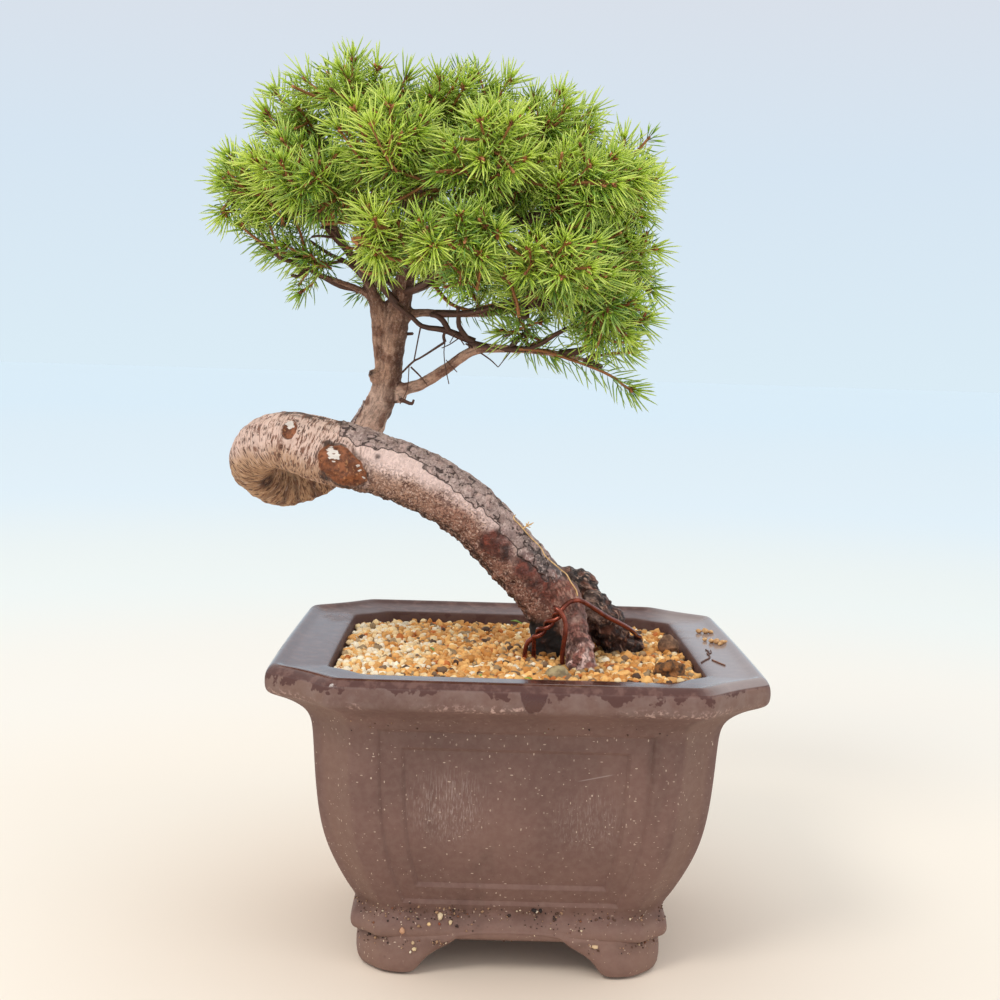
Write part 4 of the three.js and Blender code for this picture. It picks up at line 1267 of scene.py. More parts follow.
# Limbs and shoots that show against the sky low on both sides: the long bare limb on the left with
# the shoots it carries, and the hanging sprays and dead twigs under the crown on the right.
bare_routes = [
    [(-60, 18, 255, 1.9), (-68.8, 15, 257.4, 1.5), (-75, 12, 258.4, 1.35), (-83.4, 7, 262.5, 1.2),
     (-91.6, 2, 266.2, 1.0), (-97.4, -2, 267.7, 0.9), (-102.3, -4, 272, 0.6), (-106.4, -5, 273.3, 0.45)],
    [(-88.3, 4, 264.5, 1), (-90.5, 3, 261, 0.9), (-93.5, 2, 261.5, 0.7)],
    [(-52, 11, 252, 1.9), (-61.7, 6, 262.7, 1.6), (-69.7, 0, 271, 1.2), (-73.7, -4, 274.3, 1.0),
     (-76.7, -6, 278.4, 0.9), (-80.8, -8, 279.8, 0.7)],
    [(-75.5, -5, 276, 0.7), (-81.9, -8, 276.2, 0.55), (-84.4, -8, 275.7, 0.5)],
    [(-62.9, 12, 259.4, 1.4), (-71.6, 8, 267.3, 1.1), (-78, 4, 269.9, 0.9), (-86, 0, 274.8, 0.7)],
    [(-71.6, 8, 267.3, 0.7), (-74.6, 6, 267.6, 0.7), (-80, 4, 266.7, 0.6), (-83, 3, 267.3, 0.8)],
    [(-53.4, 10, 252.4, 1), (-50, 10.4, 249.8, 1.1), (-45.6, 12, 246.6, 1.05), (-41.5, 12, 243.2, 1.15),
     (-32.4, 10, 241.9, 1.45), (-25.9, 8, 239.6, 1.7), (-19.9, 7, 237.4, 1.8)],
    [(-38, 12, 248, 1.3), (-35.4, 10, 247.4, 1.3), (-32.9, 10, 245.5, 1.4), (-30.4, 9, 241.2, 1.5)],
    [(-27, 4.5, 251, 1.2), (-26.6, 5, 247.5, 1.4), (-26.3, 6, 243.5, 1.6), (-22.2, 7, 237.9, 1.6)],
    [(-22, 7.6, 236.6, 2), (-13.6, 3, 235.3, 1.6), (-8.5, 1, 234.8, 1.4), (3.3, -5, 235.7, 1.2),
     (10.8, -10, 240.4, 1.1), (16.7, -14, 243.7, 0.9), (21.7, -17, 245.7, 0.7)],
    [(-36, 12, 248.5, 1.6), (-26, 4, 248.3, 1.5), (-15.7, -4, 250.2, 1.3), (-10.4, -8, 251.8, 1.2),
     (-0.5, -16, 256, 1.0), (4.3, -20, 258.2, 0.8)],
    [(25.2, -11, 229.1, 0.7), (23.1, -12, 231, 0.6), (28.6, -15, 234.4, 0.8)],
    [(-23.5, 6, 236.6, 0.4), (-13.7, 4, 230.7, 0.33), (-10.2, 3, 227.6, 0.22)],
    [(-5.2, 0, 234.2, 0.3), (-10.1, 2.5, 227.6, 0.2)],
    [(-51.4, 17, 221.9, 0.45), (-44.5, 15, 229, 0.5), (-42, 14, 230.3, 0.45), (-31.9, 9, 237, 0.6)],
    [(-44.5, 15, 229, 0.4), (-43, 13, 237.6, 0.4), (-41.9, 12, 243.4, 0.5)],
    [(-31.9, 9, 237, 0.8), (-32.5, 9, 239.5, 0.7), (-31.4, 9, 242, 0.6)],
    [(-31.9, 9, 236.6, 0.25), (-32.1, 6, 233, 0.22), (-31.5, 5, 227.8, 0.18), (-29.7, 4, 220.2, 0.14)],
    [(-46.5, 16, 226.9, 0.2), (-47, 14, 217.1, 0.18), (-49.7, 13, 211.3, 0.14)],
    [(-45.7, 15, 226.5, 0.45), (-41.8, 13, 223, 0.4), (-38.8, 12, 219.6, 0.25)],
    [(-31.2, 6, 229.8, 0.2), (-26.6, 5, 225.1, 0.14)],
    [(-25.9, 8, 239, 0.3), (-30, 6, 236, 0.25), (-33, 5, 234.5, 0.2)],
    [(-48.5, 21, 240, 0.8), (-45.4, 19, 240.2, 0.7)],
    [(-50, 22, 213, 1.0), (-45, 19, 211.5, 0.8), (-44.4, 18, 213, 0.7)],
    [(-24, 6, 236, 0.3), (-27.5, 4, 240, 0.3), (-29.8, 3, 236.6, 0.2)],
]
for route in bare_routes:
    old_runs.append(smooth_route(route, 3) * (1, 1, 1, 0.88))
# Cushion, route, needle length, needles to the millimetre and tone.
leafy_routes = [
    (15, [(-97.4, -2, 267.7), (-99.7, -6, 276.4), (-101.2, -8, 280.5), (-106.3, -12, 285.3)],
     9.5, 2.3, 0.62),
    (15, [(-88.3, 4, 264.5), (-88.9, -2, 275.7), (-91, -5, 281.2), (-95.5, -10, 290.8)], 9, 2.0, 0.45),
    (15, [(-102.3, -4, 272), (-106.4, -5, 274.6), (-112, -6, 279)], 8.6, 2.0, 0.5),
    (15, [(-97.4, -2, 267.7), (-103, 4, 273), (-108, 8, 281)], 8.6, 2.0, 0.4),
    (15, [(-83.4, 7, 262.5), (-86, 6, 258), (-90, 6, 255)], 8, 1.2, 0.4),
    (8, [(-103, -4, 284), (-110, -7, 291), (-118, -9, 294)], 9.5, 2.2, 0.6),
    (8, [(-104, -8, 290), (-111, -10, 298), (-116, -11, 305)], 9.5, 2.2, 0.7),
    (16, [(-2, -3, 235), (7.2, -6, 234.5), (17.4, -9, 231.6), (25.2, -11, 229.1), (33.8, -13, 225.5),
          (38.9, -14, 221.9), (42, -15, 220.1)], 10, 1.7, 0.5),
    (16, [(10.8, -10, 240.4), (16.7, -14, 243.7), (21.7, -17, 245.7), (26, -20, 249)], 10, 2.0, 0.55),
    (16, [(16.7, -14, 243.7), (21.6, -16, 243.3), (29.3, -18, 240.2), (35.9, -19, 238.5),
          (39.6, -20, 239.1)], 10.5, 2.0, 0.68),
    (16, [(24, -6, 231), (32, -6, 234), (41, -8, 235)], 9.6, 1.9, 0.5),
    (6, [(-15.7, -4, 250.2), (-10.4, -8, 251.8), (-0.5, -16, 256), (4.3, -20, 258.2), (12.3, -26, 262.6)],
     11, 1.9, 0.75),
    (17, [(-20, 2, 250), (-12, -6, 252), (-4, -12, 249)], 9.5, 1.8, 0.5),
    (17, [(-2, 4, 240), (4, 10, 236), (12, 16, 233)], 9, 1.7, 0.35),
    (17, [(-8, 6, 240), (-2, -2, 243), (6, -8, 246)], 9, 1.7, 0.4),
    (7, [(29.3, -18, 240.2), (37, -23, 244), (45, -27, 248)], 10, 2.1, 0.6),
    (7, [(21.7, -17, 245.7), (30, -24, 250), (40, -30, 254)], 10.5, 2.2, 0.7),
]

needle_sets = [[] for _ in cushions]
needle_width = 0.73
spiral_turn = math.radians(137.5)


def unit(v):
    return v / np.linalg.norm(v, axis=-1, keepdims=True)


def shoot_path(base, tip, sag):
    """Four points along a shoot that bows a little as it grows."""
    middle = (base + tip) / 2 + sag
    t = np.linspace(0, 1, 4)[:, None]
    return (1 - t) ** 2 * base + 2 * t * (1 - t) * middle + t * t * tip


def add_needles(index, path, count, length, spread, tone, start_share=0.0, fine=True):
    """Needles in a spiral round a shoot's path. spread is their angle to it at its foot and tip."""
    share = start_share + (1 - start_share) * (np.arange(count) + draw.uniform(0.2, 0.8, count)) / count
    spot = share * (len(path) - 1)
    low = np.minimum(spot.astype(int), len(path) - 2)
    step = path[low + 1] - path[low]
    base = path[low] + step * (spot - low)[:, None]
    ahead = unit(step)
    side_one = unit(np.cross(ahead, unit(draw.normal(size=3) + 0.001)))
    side_two = np.cross(ahead, side_one)
    around = (np.arange(count) * spiral_turn + draw.normal(0, 0.2, count))[:, None]
    side = side_one * np.cos(around) + side_two * np.sin(around)
    turn = np.radians(spread[0] + (spread[1] - spread[0]) * share**2 + draw.normal(0, 6, count))
    turn = np.maximum(turn, 0.1)
    direction = ahead * np.cos(turn)[:, None] + side * np.sin(turn)[:, None]
    size = length * (1 - 0.1 * np.abs(draw.normal(0, 1, count))) * (1 - 0.1 * share)
    size = np.clip(size, length * 0.55, length * 1.15)
    bend = ahead * draw.uniform(0.1, 0.42) + ahead * draw.normal(0, 0.08, (count, 1))
    bend = bend + draw.normal(0, 0.05, (count, 3))
    bend[:, 2] += draw.uniform(-0.24, 0.04)
    needle_sets[index].append((base, direction, bend, size, np.full(count, tone), np.full(count, fine)))


def add_leafy_shoot(index, path, length, density, tone, fine=True, bud=1.0):
    """A twig along a path with needles all round it, a tuft of them at its tip and a bud."""
    reach = np.linalg.norm(np.diff(path, axis=0), axis=1).sum()
    add_needles(index, path, int(reach * density), length, (74, 50), tone, 0.02, fine)
    end_way = unit(path[-1] - path[-2])
    tuft = np.array([path[-1] - end_way * 2.2, path[-1] + end_way * 0.6])
    add_needles(index, tuft, 11 if fine else 6, length * 0.85, (56, 22), tone + 0.08, 0.0, fine)
    if fine:
        add_needles(index, tuft, 9, length * 0.42, (26, 10), tone + 0.35, 0.5, False)
    radii = np.linspace(0.66, 0.5, len(path)) * (0.85 + 0.15 * bud)
    young_runs.append(np.column_stack([path, radii]))
    bud_places.append((path[-1] - end_way * 1.2, path[-1] - path[-2], bud))


for index, route, length, density, tone in leafy_routes:
    add_leafy_shoot(index, smooth_route([(*p, 0.6) for p in route], 3)[:, :3], length, density, tone)
for point, index in tips:
    outward = skin_normal(point, index)
    from_middle = unit(point - crown_middle)
    lean = outward * 0.5 + from_middle * 0.6 + np.array((0, 0, 0.3)) + draw.normal(size=3) * 0.34
    lean = unit(lean)
    length = chance.uniform(15, 26)
    base = point - lean * length
    sag = np.array((0, 0, -0.5)) + draw.normal(size=3) * 1.3
    lowness = float(np.clip((275 - point[2]) / 60, 0, 1))
    tone = chance.gauss(0.8, 0.13) - 0.2 * lowness
    add_leafy_shoot(index, shoot_path(base, point, sag), chance.uniform(10.2, 12.8), 2.25, tone)
    fork, end = limb_ends[index]
    root = end + (base - end) * 0.08 + draw.normal(size=3) * 1.5
    if np.linalg.norm(base - end) > 1.3 * np.linalg.norm(base - fork):
        root = fork
    knee = (root + base) / 2 + draw.normal(size=3) * 1.6 - (0, 0, 1)
    old_runs.append(smooth_route([(*root, 0.95), (*knee, 0.8), (*base, 0.64)], 3))
    reach = np.linalg.norm(base - root)
    if reach > 6:
        add_needles(index, np.array([root, knee, base]), int(reach * 0.8), 8, (66, 58), 0.3, 0.45, False)
    for _ in range(1 if index in airy else 2):
        share = chance.uniform(0.0, 0.55)
        foot = base + (point - base) * share
        aside = unit(np.cross(lean, draw.normal(size=3)))
        way = unit(lean * 0.62 + aside * 0.8 + np.array((0, 0, 0.08)))
        size = chance.uniform(9, 16)
        branch = shoot_path(foot, foot + way * size, draw.normal(size=3) * 0.8)
        add_leafy_shoot(index, branch, chance.uniform(8.4, 10), 2.2, tone - 0.12, fine=False, bud=0.85)

# The needles: each is a thin blunt three-sided blade that curves a little. Those on the young
# outer shoots are long and yellow-green, those further in shorter, darker and bluer.
deep_green, mid_green = srgb(84, 120, 34), srgb(144, 182, 48)
fresh_green, bright_tip = srgb(208, 230, 82), srgb(238, 244, 146)
blue_green = srgb(92, 146, 108)
# The triangles of a fine needle, which has two rings of corners, and of a plain one with one.
fine_faces = [(0, 2, 1), (0, 3, 2), (0, 1, 3),
              (1, 2, 5), (1, 5, 4), (2, 3, 6), (2, 6, 5), (3, 1, 4), (3, 4, 6),
              (4, 5, 7), (5, 6, 7), (6, 4, 7)]
plain_faces = [(0, 2, 1), (0, 3, 2), (0, 1, 3), (1, 2, 4), (2, 3, 4), (3, 1, 4)]
foliage = []
for index, sets in enumerate(needle_sets):
    base, direction, bend, size, tone, fine_one = (np.concatenate(part) for part in zip(*sets))
    direction = unit(direction)
    count = len(base)
    face_side = unit(np.cross(direction, draw.normal(size=(count, 3))))
    other = np.cross(direction, face_side)

    def spine(t):
        return base + (direction * t + bend * (t * t)) * size[:, None]

    def ring(t, scale):
        around = np.radians(np.array((0, 120, 240)))
        middle = spine(t)
        reach = needle_width / 2 * scale
        return [middle + (face_side * math.cos(a) + other * math.sin(a) * 0.8) * reach for a in around]

    layers_fine = [spine(-0.02), *ring(0.36, 0.92), *ring(0.86, 0.78), spine(1.0)]
    layers_plain = [spine(-0.02), *ring(0.7, 0.95), spine(1.0)]
    corners, faces, corner_colours = [], [], []
    random_tone = np.clip(tone + draw.normal(0, 0.12, count), 0, 1.1)
    body = mid_green + (fresh_green - mid_green) * np.clip((random_tone - 0.45) / 0.5, 0, 1)[:, None]
    body = deep_green + (body - deep_green) * np.clip(random_tone / 0.5, 0, 1)[:, None]
    bluish = (draw.random(count) < 0.45)[:, None] * (0.8 - 0.75 * np.clip(tone, 0, 1))[:, None]
    body = body + (blue_green - body) * bluish
    point_colour = body + (bright_tip - body) * (0.2 + 0.3 * np.clip(random_tone, 0, 1))[:, None]
    foot_colour = body * 0.82
    for chosen, layers, shape, tones in (
            (fine_one, layers_fine, fine_faces, (0, 1, 1, 1, 2, 2, 2, 2)),
            (~fine_one, layers_plain, plain_faces, (0, 1, 1, 1, 2))):
        picked = np.flatnonzero(chosen)
        first = sum(len(part) for part in corners)
        stack = np.stack([layer[picked] for layer in layers], axis=1)
        corners.append(stack.reshape(-1, 3))
        shades = np.stack([(foot_colour, body, point_colour)[t][picked] for t in tones], axis=1)
        corner_colours.append(shades.reshape(-1, 3))
        starts = first + np.arange(len(picked)) * len(layers)
        faces.append((starts[:, None, None] + np.array(shape)[None]).reshape(-1, 3))
    piece = mesh_from(f"needles_{index + 1:02d}", np.concatenate(corners), np.concatenate(faces))
    keep_on_corners(piece, "needle_colour", as_colour(np.concatenate(corner_colours)))
    foliage.append(piece)

needle = coloured("needle", "needle_colour", Roughness=0.42, Specular_IOR_Level=0.35)
for index, piece in enumerate(foliage):
    finish_piece(piece, needle, "needles", f"foliage_{index + 1:02d}")

# The twigs: grey-brown where they are old, orange-brown where they are young, with an uneven tone.
shoot_twigs = round_runs("shoot_twigs", old_runs + young_runs, 0)
twig_places, _ = mesh_places(shoot_twigs)
ring_corners, cap_corners = 4, 8
old_total = sum(len(run) * ring_corners + cap_corners for run in old_runs)
age_tone = np.concatenate([np.ones(old_total), np.zeros(len(twig_places) - old_total)])
twig_tones = srgb(166, 106, 62) + (srgb(92, 60, 46) - srgb(166, 106, 62)) * age_tone[:, None]
twig_tones = np.clip(twig_tones * (1 + draw.normal(0, 0.16, (len(twig_places), 1))), 0.01, 1)
keep_on_corners(shoot_twigs, "twig_colour", as_colour(twig_tones))
twig = coloured("twig", "twig_colour", Roughness=0.7)
finish_piece(shoot_twigs, twig, "twig")

# A resting bud sits in the ring of needles at each shoot's end, and the strong ones have two more
# beside it. Each is a blunt five-sided bead, tan or brown.
bud_corners = [(0, 0, 0)]
for height, reach in ((0.25, 0.9), (0.72, 0.7)):
    for k in range(5):
        angle = math.radians(72 * k + 90 * height)
        bud_corners.append((reach * math.cos(angle), reach * math.sin(angle), height))
bud_corners = np.array(bud_corners + [(0, 0, 1)])
bud_faces = []
for k in range(5):
    a, b = 1 + k, 1 + (k + 1) % 5
    bud_faces += [(0, b, a), (a, b, b + 5), (a, b + 5, a + 5), (a + 5, b + 5, 11)]
bud_faces = np.array(bud_faces)
all_buds, bud_tones = [], []
for spot, way, strength in bud_places:
    way = unit(way)
    sides = [way]
    if strength > 0.9:
        for _ in range(chance.choice((1, 2, 3))):
            sides.append(unit(way * 0.75 + unit(np.cross(way, draw.normal(size=3))) * 0.7))
    for turn_to in sides:
        across_one = unit(np.cross(turn_to, (0.3, 0.2, 0.93)))
        across_two = np.cross(turn_to, across_one)
        tall, wide = 2.7 * strength * chance.uniform(0.8, 1.2), 0.95 * strength
        shape = (bud_corners[:, :1] * across_one * wide + bud_corners[:, 1:2] * across_two * wide
                 + bud_corners[:, 2:] * turn_to * tall)
        all_buds.append(shape + spot + turn_to * 0.1)
        colour = srgb(*chance.choice(((176, 104, 60), (150, 84, 50), (196, 128, 84), (128, 72, 46))))
        bud_tones.append(colour * (0.8 + 0.4 * bud_corners[:, 2:]))
buds = scatter_mesh("buds", all_buds, bud_faces, "twig_colour",
                    as_colour(np.clip(np.concatenate(bud_tones), 0.01, 1)))
finish_piece(buds, twig, "twig")


# The soil is a deep bed of hard clay and pumice grains. The bed itself is one dark uneven fill, and
# the grains that show lie on it as separate blunt lumps, tan and orange with some cream and grey.
fill_top, soil_slope = 112.2, 0.022
opening_levels = [(24.4, 47.1, 9), (33, 54.1, 10), (41, 58.2, 11), (61, 64.4, 12.5), (88, 66.8, 13),
                  (108, 68.2, 13.2), (fill_top - 1, 68.8, 13.3)]
first_z, first_half, first_cut = opening_levels[0]
soil_fill = start_ring("soil_fill", pot_outline(first_half, inside_depth_loss, first_cut), first_z, True)
for z, half_width, cut in opening_levels[1:]:
    outline = pot_outline(half_width, inside_depth_loss, cut)
    pull_ring(outline, [z] * len(outline))
bpy.ops.mesh.select_all(action="SELECT")
bpy.ops.mesh.normals_make_consistent(inside=False)
bpy.ops.object.mode_set(mode="OBJECT")
apply_modifier(soil_fill, "REMESH", mode="VOXEL", voxel_size=0.0032)
for corner in soil_fill.data.vertices:
    if corner.co.z > (fill_top - 3) / 1000:
        uneven = 0.9 * noise.noise(corner.co * 380) + 0.5 * noise.noise(corner.co * 90)
        corner.co.z += (uneven - 0.7) / 1000 - soil_slope * (corner.co.y - pot_y)
bpy.ops.object.shade_smooth()


def opening_reach(angle):
    """How far the opening's wall is from the middle in a direction."""
    outline = pot_outline(68.6, inside_depth_loss, 13.3)
    best = 0
    for (ax, ay), (bx, by) in zip(outline, outline[1:] + outline[:1]):
        dx, dy = math.cos(angle), math.sin(angle)
        cross = dx * (by - ay) - dy * (bx - ax)
        if abs(cross) > 1e-9:
            t = (ax * (by - ay) - ay * (bx - ax)) / cross
            s = (ax * dy - ay * dx) / cross
            if t > 0 and -0.01 <= s <= 1.01:
                best = max(best, t)
    return best


# One grain is a bevelled cube; every grain is a copy, squashed, turned and chipped in its own way.
grain_corners, grain_faces = basic_shape(bpy.ops.mesh.primitive_cube_add, bevel=0.27, size=1)
soil_top = 112.7
grain_spacing = 2.32
soil_chance = np.random.default_rng(21)
# Each tone of the grains, and its shares at the right and, creamier, at the left.
grain_palette = [
    ((222, 164, 96), 30, 10), ((238, 184, 112), 26, 12), ((204, 138, 68), 18, 4),
    ((246, 216, 166), 9, 38), ((246, 232, 206), 3, 28), ((164, 138, 104), 7, 7),
    ((126, 100, 76), 5, 3), ((84, 62, 48), 3, 1), ((196, 114, 56), 3, 1),
]
palette_colours = np.array([srgb(*tone) for tone, _, _ in grain_palette])
right_shares, left_shares = (np.array([row[k] for row in grain_palette], float) for k in (1, 2))
root_samples = np.concatenate([trunk_smooth[:28], *root_smooth])


def gap_to_wood(point):
    return (np.linalg.norm(root_samples[:, :3] - point, axis=1) - root_samples[:, 3]).min()


grain_points = []
row = 0
bed_x, bed_y = 70, 67
spot_y = -bed_y
while spot_y < bed_y:
    spot_x = -bed_x + (row % 2) * grain_spacing / 2
    while spot_x < bed_x:
        gx, gy = spot_x + soil_chance.normal(0, 0.5), spot_y + soil_chance.normal(0, 0.5)
        if math.hypot(gx, gy) < opening_reach(math.atan2(gy, gx)) - 1.3:
            mound = 0.9 * noise.noise(Vector((gx / 22, gy / 22, 3))) + 0.5 * soil_chance.normal()
            middle = np.array((gx, gy, soil_top - soil_slope * gy + mound))
            if gap_to_wood(middle) > 0.4:
                grain_points.append(middle)
        spot_x += grain_spacing
    spot_y += grain_spacing * 0.87
    row += 1
all_corners, all_colours = [], []
for middle in grain_points:
    size = np.clip(soil_chance.normal(2.4, 0.5), 1.3, 4)
    stretch = size * soil_chance.uniform(0.68, 1.22, 3)
    chipped = grain_corners * (1 + soil_chance.normal(0, 0.14, (len(grain_corners), 1)))
    angle = soil_chance.uniform(0, 6.3)
    turn = Matrix.Rotation(angle, 3, Vector(soil_chance.normal(size=3)).normalized())
    all_corners.append((chipped * stretch) @ np.array(turn).T + middle)
    to_left = float(ease(-middle[0] + 14 * noise.noise(Vector(middle / 12)), 24, 56))
    shares = right_shares * (1 - to_left) + left_shares * to_left
    colour = palette_colours[soil_chance.choice(len(shares), p=shares / shares.sum())]
    # Grains close to the wood are painted darker: painted shade where they meet it.
    shade_near_wood = 1 - 0.6 * float(1 - ease(gap_to_wood(middle), 1.5, 7)) * soil_chance.uniform(0.4, 1)
    colour = colour * soil_chance.uniform(0.86, 1.12) * shade_near_wood
    corner_tones = 1 + soil_chance.normal(0, 0.07, (len(grain_corners), 1))
    all_colours.append(np.clip(colour * corner_tones, 0.01, 1))
soil_grains = scatter_mesh("soil_grains", all_corners, grain_faces, "grain_colour",
                           as_colour(np.concatenate(all_colours)))
soil_grain = coloured("soil_grain", "grain_colour", Roughness=0.75, Specular_IOR_Level=0.35)
finish_piece(soil_grains, soil_grain, "soil", "soil_bed")


def mottled(name, first, second, scale, low=0.35, high=0.65, **constants):
    """A material of two tones in soft patches."""
    made = Material(name, **constants)
    made.tone = made.blots(scale, low, high)
    made.mix(made.tone, paint(*first), paint(*second))
    return made


fill_earth = mottled("soil_fill", (84, 60, 42), (168, 122, 78), 420.0, Roughness=0.9)
finish_piece(soil_fill, fill_earth, "soil", "soil_bed")


# The drainage screens and their clips stay as the CAD model has them: dark plastic mesh squares over
# the two drain holes, each pinned by a bent wire that passes down through the hole.
screen_plastic = mottled("screen_plastic", (38, 40, 42), (70, 62, 54), 300.0, 0.4, 0.7, Roughness=0.6)
clip_steel = mottled("clip_steel", (160, 162, 164), (118, 100, 84), 500.0, 0.45, 0.7, Roughness=0.38)
clip_steel.join(Metallic=0.9 - clip_steel.tone * 0.5)
for side in ("left", "right"):
    give_material(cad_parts["drain_screen_" + side], screen_plastic)
    give_material(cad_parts["screen_clip_" + side], clip_steel)

# The anchor wire is one length of copper-coloured wire. It runs up through the drain holes, over
# the roots, and its two ends are twisted together in front of the trunk.
wire_radius = 0.95
twist_top, twist_foot = np.array((16.4, -28.6, 134.4)), np.array((7.4, -21.5, 123.4))
twist_turns, twist_steps, twist_spacing = 1.5, 20, 1.05
over_roots = [(19.6, -27.6, 138.2), (23.4, -26.5, 138.9), (28.5, -22, 136), (35.6, -15, 130.8),
              (41.1, -10, 127.6), (46.3, -4, 124), (50, 6, 119.8), (53, 14, 114.6)]
hidden_run = [(54, 17, 109), (53, 16, 100), (46, 8, 74), (38, 0, 50), (32.75, -2.75, 34),
              (32.75, -2.75, 18), (30, -2.75, 12.2), (0, -2.75, 12.2), (-24.5, -2.75, 12.2),
              (-27.25, -2.75, 18), (-27.25, -2.75, 34), (-22, -8, 60), (-6, -22, 84), (10, -28, 100),
              (17.6, -30.5, 112)]
over_front = [(17.5, -31, 118.5), (18.2, -32, 125), (18.4, -32, 130.6), (16.8, -31.4, 134.4),
              (14.2, -29.8, 136.4)]
tail_right = [(7, -20.6, 120.8), (7.1, -18.6, 115), (7.4, -17, 109)]
tail_left = [(4.6, -20, 120.8), (3.6, -18.4, 115.4), (3.2, -17, 109)]


def twist_strand(phase):
    """One of the two strands wound round each other, from the top of the twist to its foot."""
    axis = unit(twist_foot - twist_top)
    side = unit(np.cross((0, 0, 1), axis))
    rise = np.cross(axis, side)
    points = []
    for i in range(twist_steps + 1):
        share = i / twist_steps
        angle = phase + 2 * math.pi * twist_turns * share
        points.append(twist_top + (twist_foot - twist_top) * share
                      + twist_spacing * (side * math.cos(angle) + rise * math.sin(angle)))
    return [tuple(point) for point in points]


def lie_on(piece, route, gap):
    """Pushes the points of a route out of the piece, to a gap over its skin."""
    surface = BVHTree.FromObject(piece, bpy.context.evaluated_depsgraph_get())
    for point in route:
        spot, normal, _, away = surface.find_nearest(place(*point[:3]))
        outside = (place(*point[:3]) - spot).dot(normal) > 0
        if not outside or away < gap / 1000:
            point[:3] = in_mm(spot + normal * gap / 1000)


wire_route = (list(reversed(tail_left)) + list(reversed(twist_strand(0))) + over_roots + hidden_run
              + over_front + twist_strand(math.pi) + tail_right)
smooth_wire = smooth_route([(*point, wire_radius) for point in wire_route], 3)
lie_on(wood, smooth_wire, wire_radius * 0.96)
anchor_wire = round_runs("anchor_wire", [smooth_wire], 2)
bpy.ops.object.shade_smooth()
copper = mottled("copper", (142, 72, 55), (88, 41, 32), 260.0, 0.4, 0.72, Metallic=0.7, Roughness=0.22)
finish_piece(anchor_wire, copper, "copper", "anchor_wire")

# A straw-coloured fibre lies down the trunk's upper edge, with a small tuft near its top. It is a
# thin dry stalk, stiff enough to keep its shape, and it only rests on the bark.
straw_radius = 0.27
straw_route = [(-1.6, -12, 167.4), (-0.5, -12, 166.6), (1.6, -12.4, 164.4), (4.7, -12, 161),
               (8.9, -12, 157), (10.2, -13, 154.6), (12.1, -12, 152.5), (14.4, -13, 150.8),
               (17.2, -12, 148.4), (19.4, -10.6, 146.6), (21, -12, 144), (22.8, -14.4, 141.2),
               (23.2, -17.4, 138.8)]
straw_tip = [(-1.6, -12, 167.4, straw_radius), (-2.4, -11.6, 168.8, 0.26), (-1.6, -11, 169.8, 0.2)]
tuft_foot = [(1.6, -12.2, 164.6, 0.3), (2.8, -11.4, 165.4, 0.26)]
tuft_ends = [(3.8, -10, 167), (4.8, -10, 166), (2.8, -11, 166.6), (5.6, -9, 166.6), (4.4, -10.4, 164.8)]
straw_smooth = smooth_route([(*point, straw_radius) for point in straw_route], 4)
lie_on(wood, straw_smooth, 0.25)
tuft = [smooth_route([*tuft_foot, (*end, 0.16)], 3) for end in tuft_ends]
straw_fibre = round_runs("straw_fibre", [straw_smooth, *tuft, smooth_route(straw_tip, 3)], 1)
bpy.ops.object.shade_smooth()
straw = mottled("straw", (240, 200, 142), (198, 154, 98), 600.0, Roughness=0.6)
finish_piece(straw_fibre, straw, "straw", "straw_fibre")


# Loose lumps lie on the soil: a pale stone, a brown stone and a dark crumbly clod. A few grains
# of soil, a bent twig and a fallen needle lie on the wet rim.
def lump(name, spot, half_sizes, dent, seed, detail):
    """A ball made uneven by broad and fine dents, squashed to its half sizes and set in place."""
    deselect_everything()
    bpy.ops.mesh.primitive_ico_sphere_add(subdivisions=detail, radius=1)
    piece = bpy.context.object
    piece.name = name
    for corner in piece.data.vertices:
        start = corner.co + Vector((seed, seed * 2.3, 0))
        swell = 1 + dent * (noise.noise(start * 0.9) + 0.5 * noise.noise(start * 2.4))
        size = Vector([half * c for half, c in zip(half_sizes, corner.co * swell)]) / 1000
        corner.co = place(*spot) + size
    bpy.ops.object.shade_smooth_by_angle(angle=math.radians(50))
    return piece


def grained(name, light, dark, roughness, scale):
    """A dull material of two tones with a fine grain in its surface."""
    made = mottled(name, dark, light, scale, Roughness=roughness)
    made.dent(made.noise(scale * 2.5, 3.0), 0.5, 0.0005)
    return made


# Each one's slot, place, half sizes, dents, seed, fineness, light and dark tone, roughness and grain.
loose_stones = {
    "pale_stone": ("pale_stone", (14.6, -49, 114.2), (4.8, 3.8, 3.3), 0.3, 3, 3,
                   (178, 158, 116), (116, 98, 66), 0.5, 300.0),
    "brown_stone": ("brown_stone", (63.4, 6, 115.8), (4.4, 4, 4.2), 0.34, 7, 3,
                    (150, 112, 84), (96, 68, 50), 0.85, 420.0),
    "dark_clod": ("brown_stone", (57.4, -44.4, 115.8), (5.2, 4.4, 4.8), 0.6, 11, 4,
                  (158, 104, 58), (58, 42, 30), 0.9, 380.0),
}
for name, (slot, spot, half_sizes, dent, seed, detail, *look) in loose_stones.items():
    finish_piece(lump(name, spot, half_sizes, dent, seed, detail), grained(name, *look), slot, name)
rim_soil = grained("rim_soil", (234, 190, 134), (184, 134, 88), 0.7, 420.0)


rim_start_x, rim_start_z, rim_run, rim_climb = 69.5, 116.7, 15, 0.6


def rim_at(x):
    """The height of the rim's top between the opening and the crest."""
    return rim_start_z + (abs(x) - rim_start_x) / rim_run * rim_climb


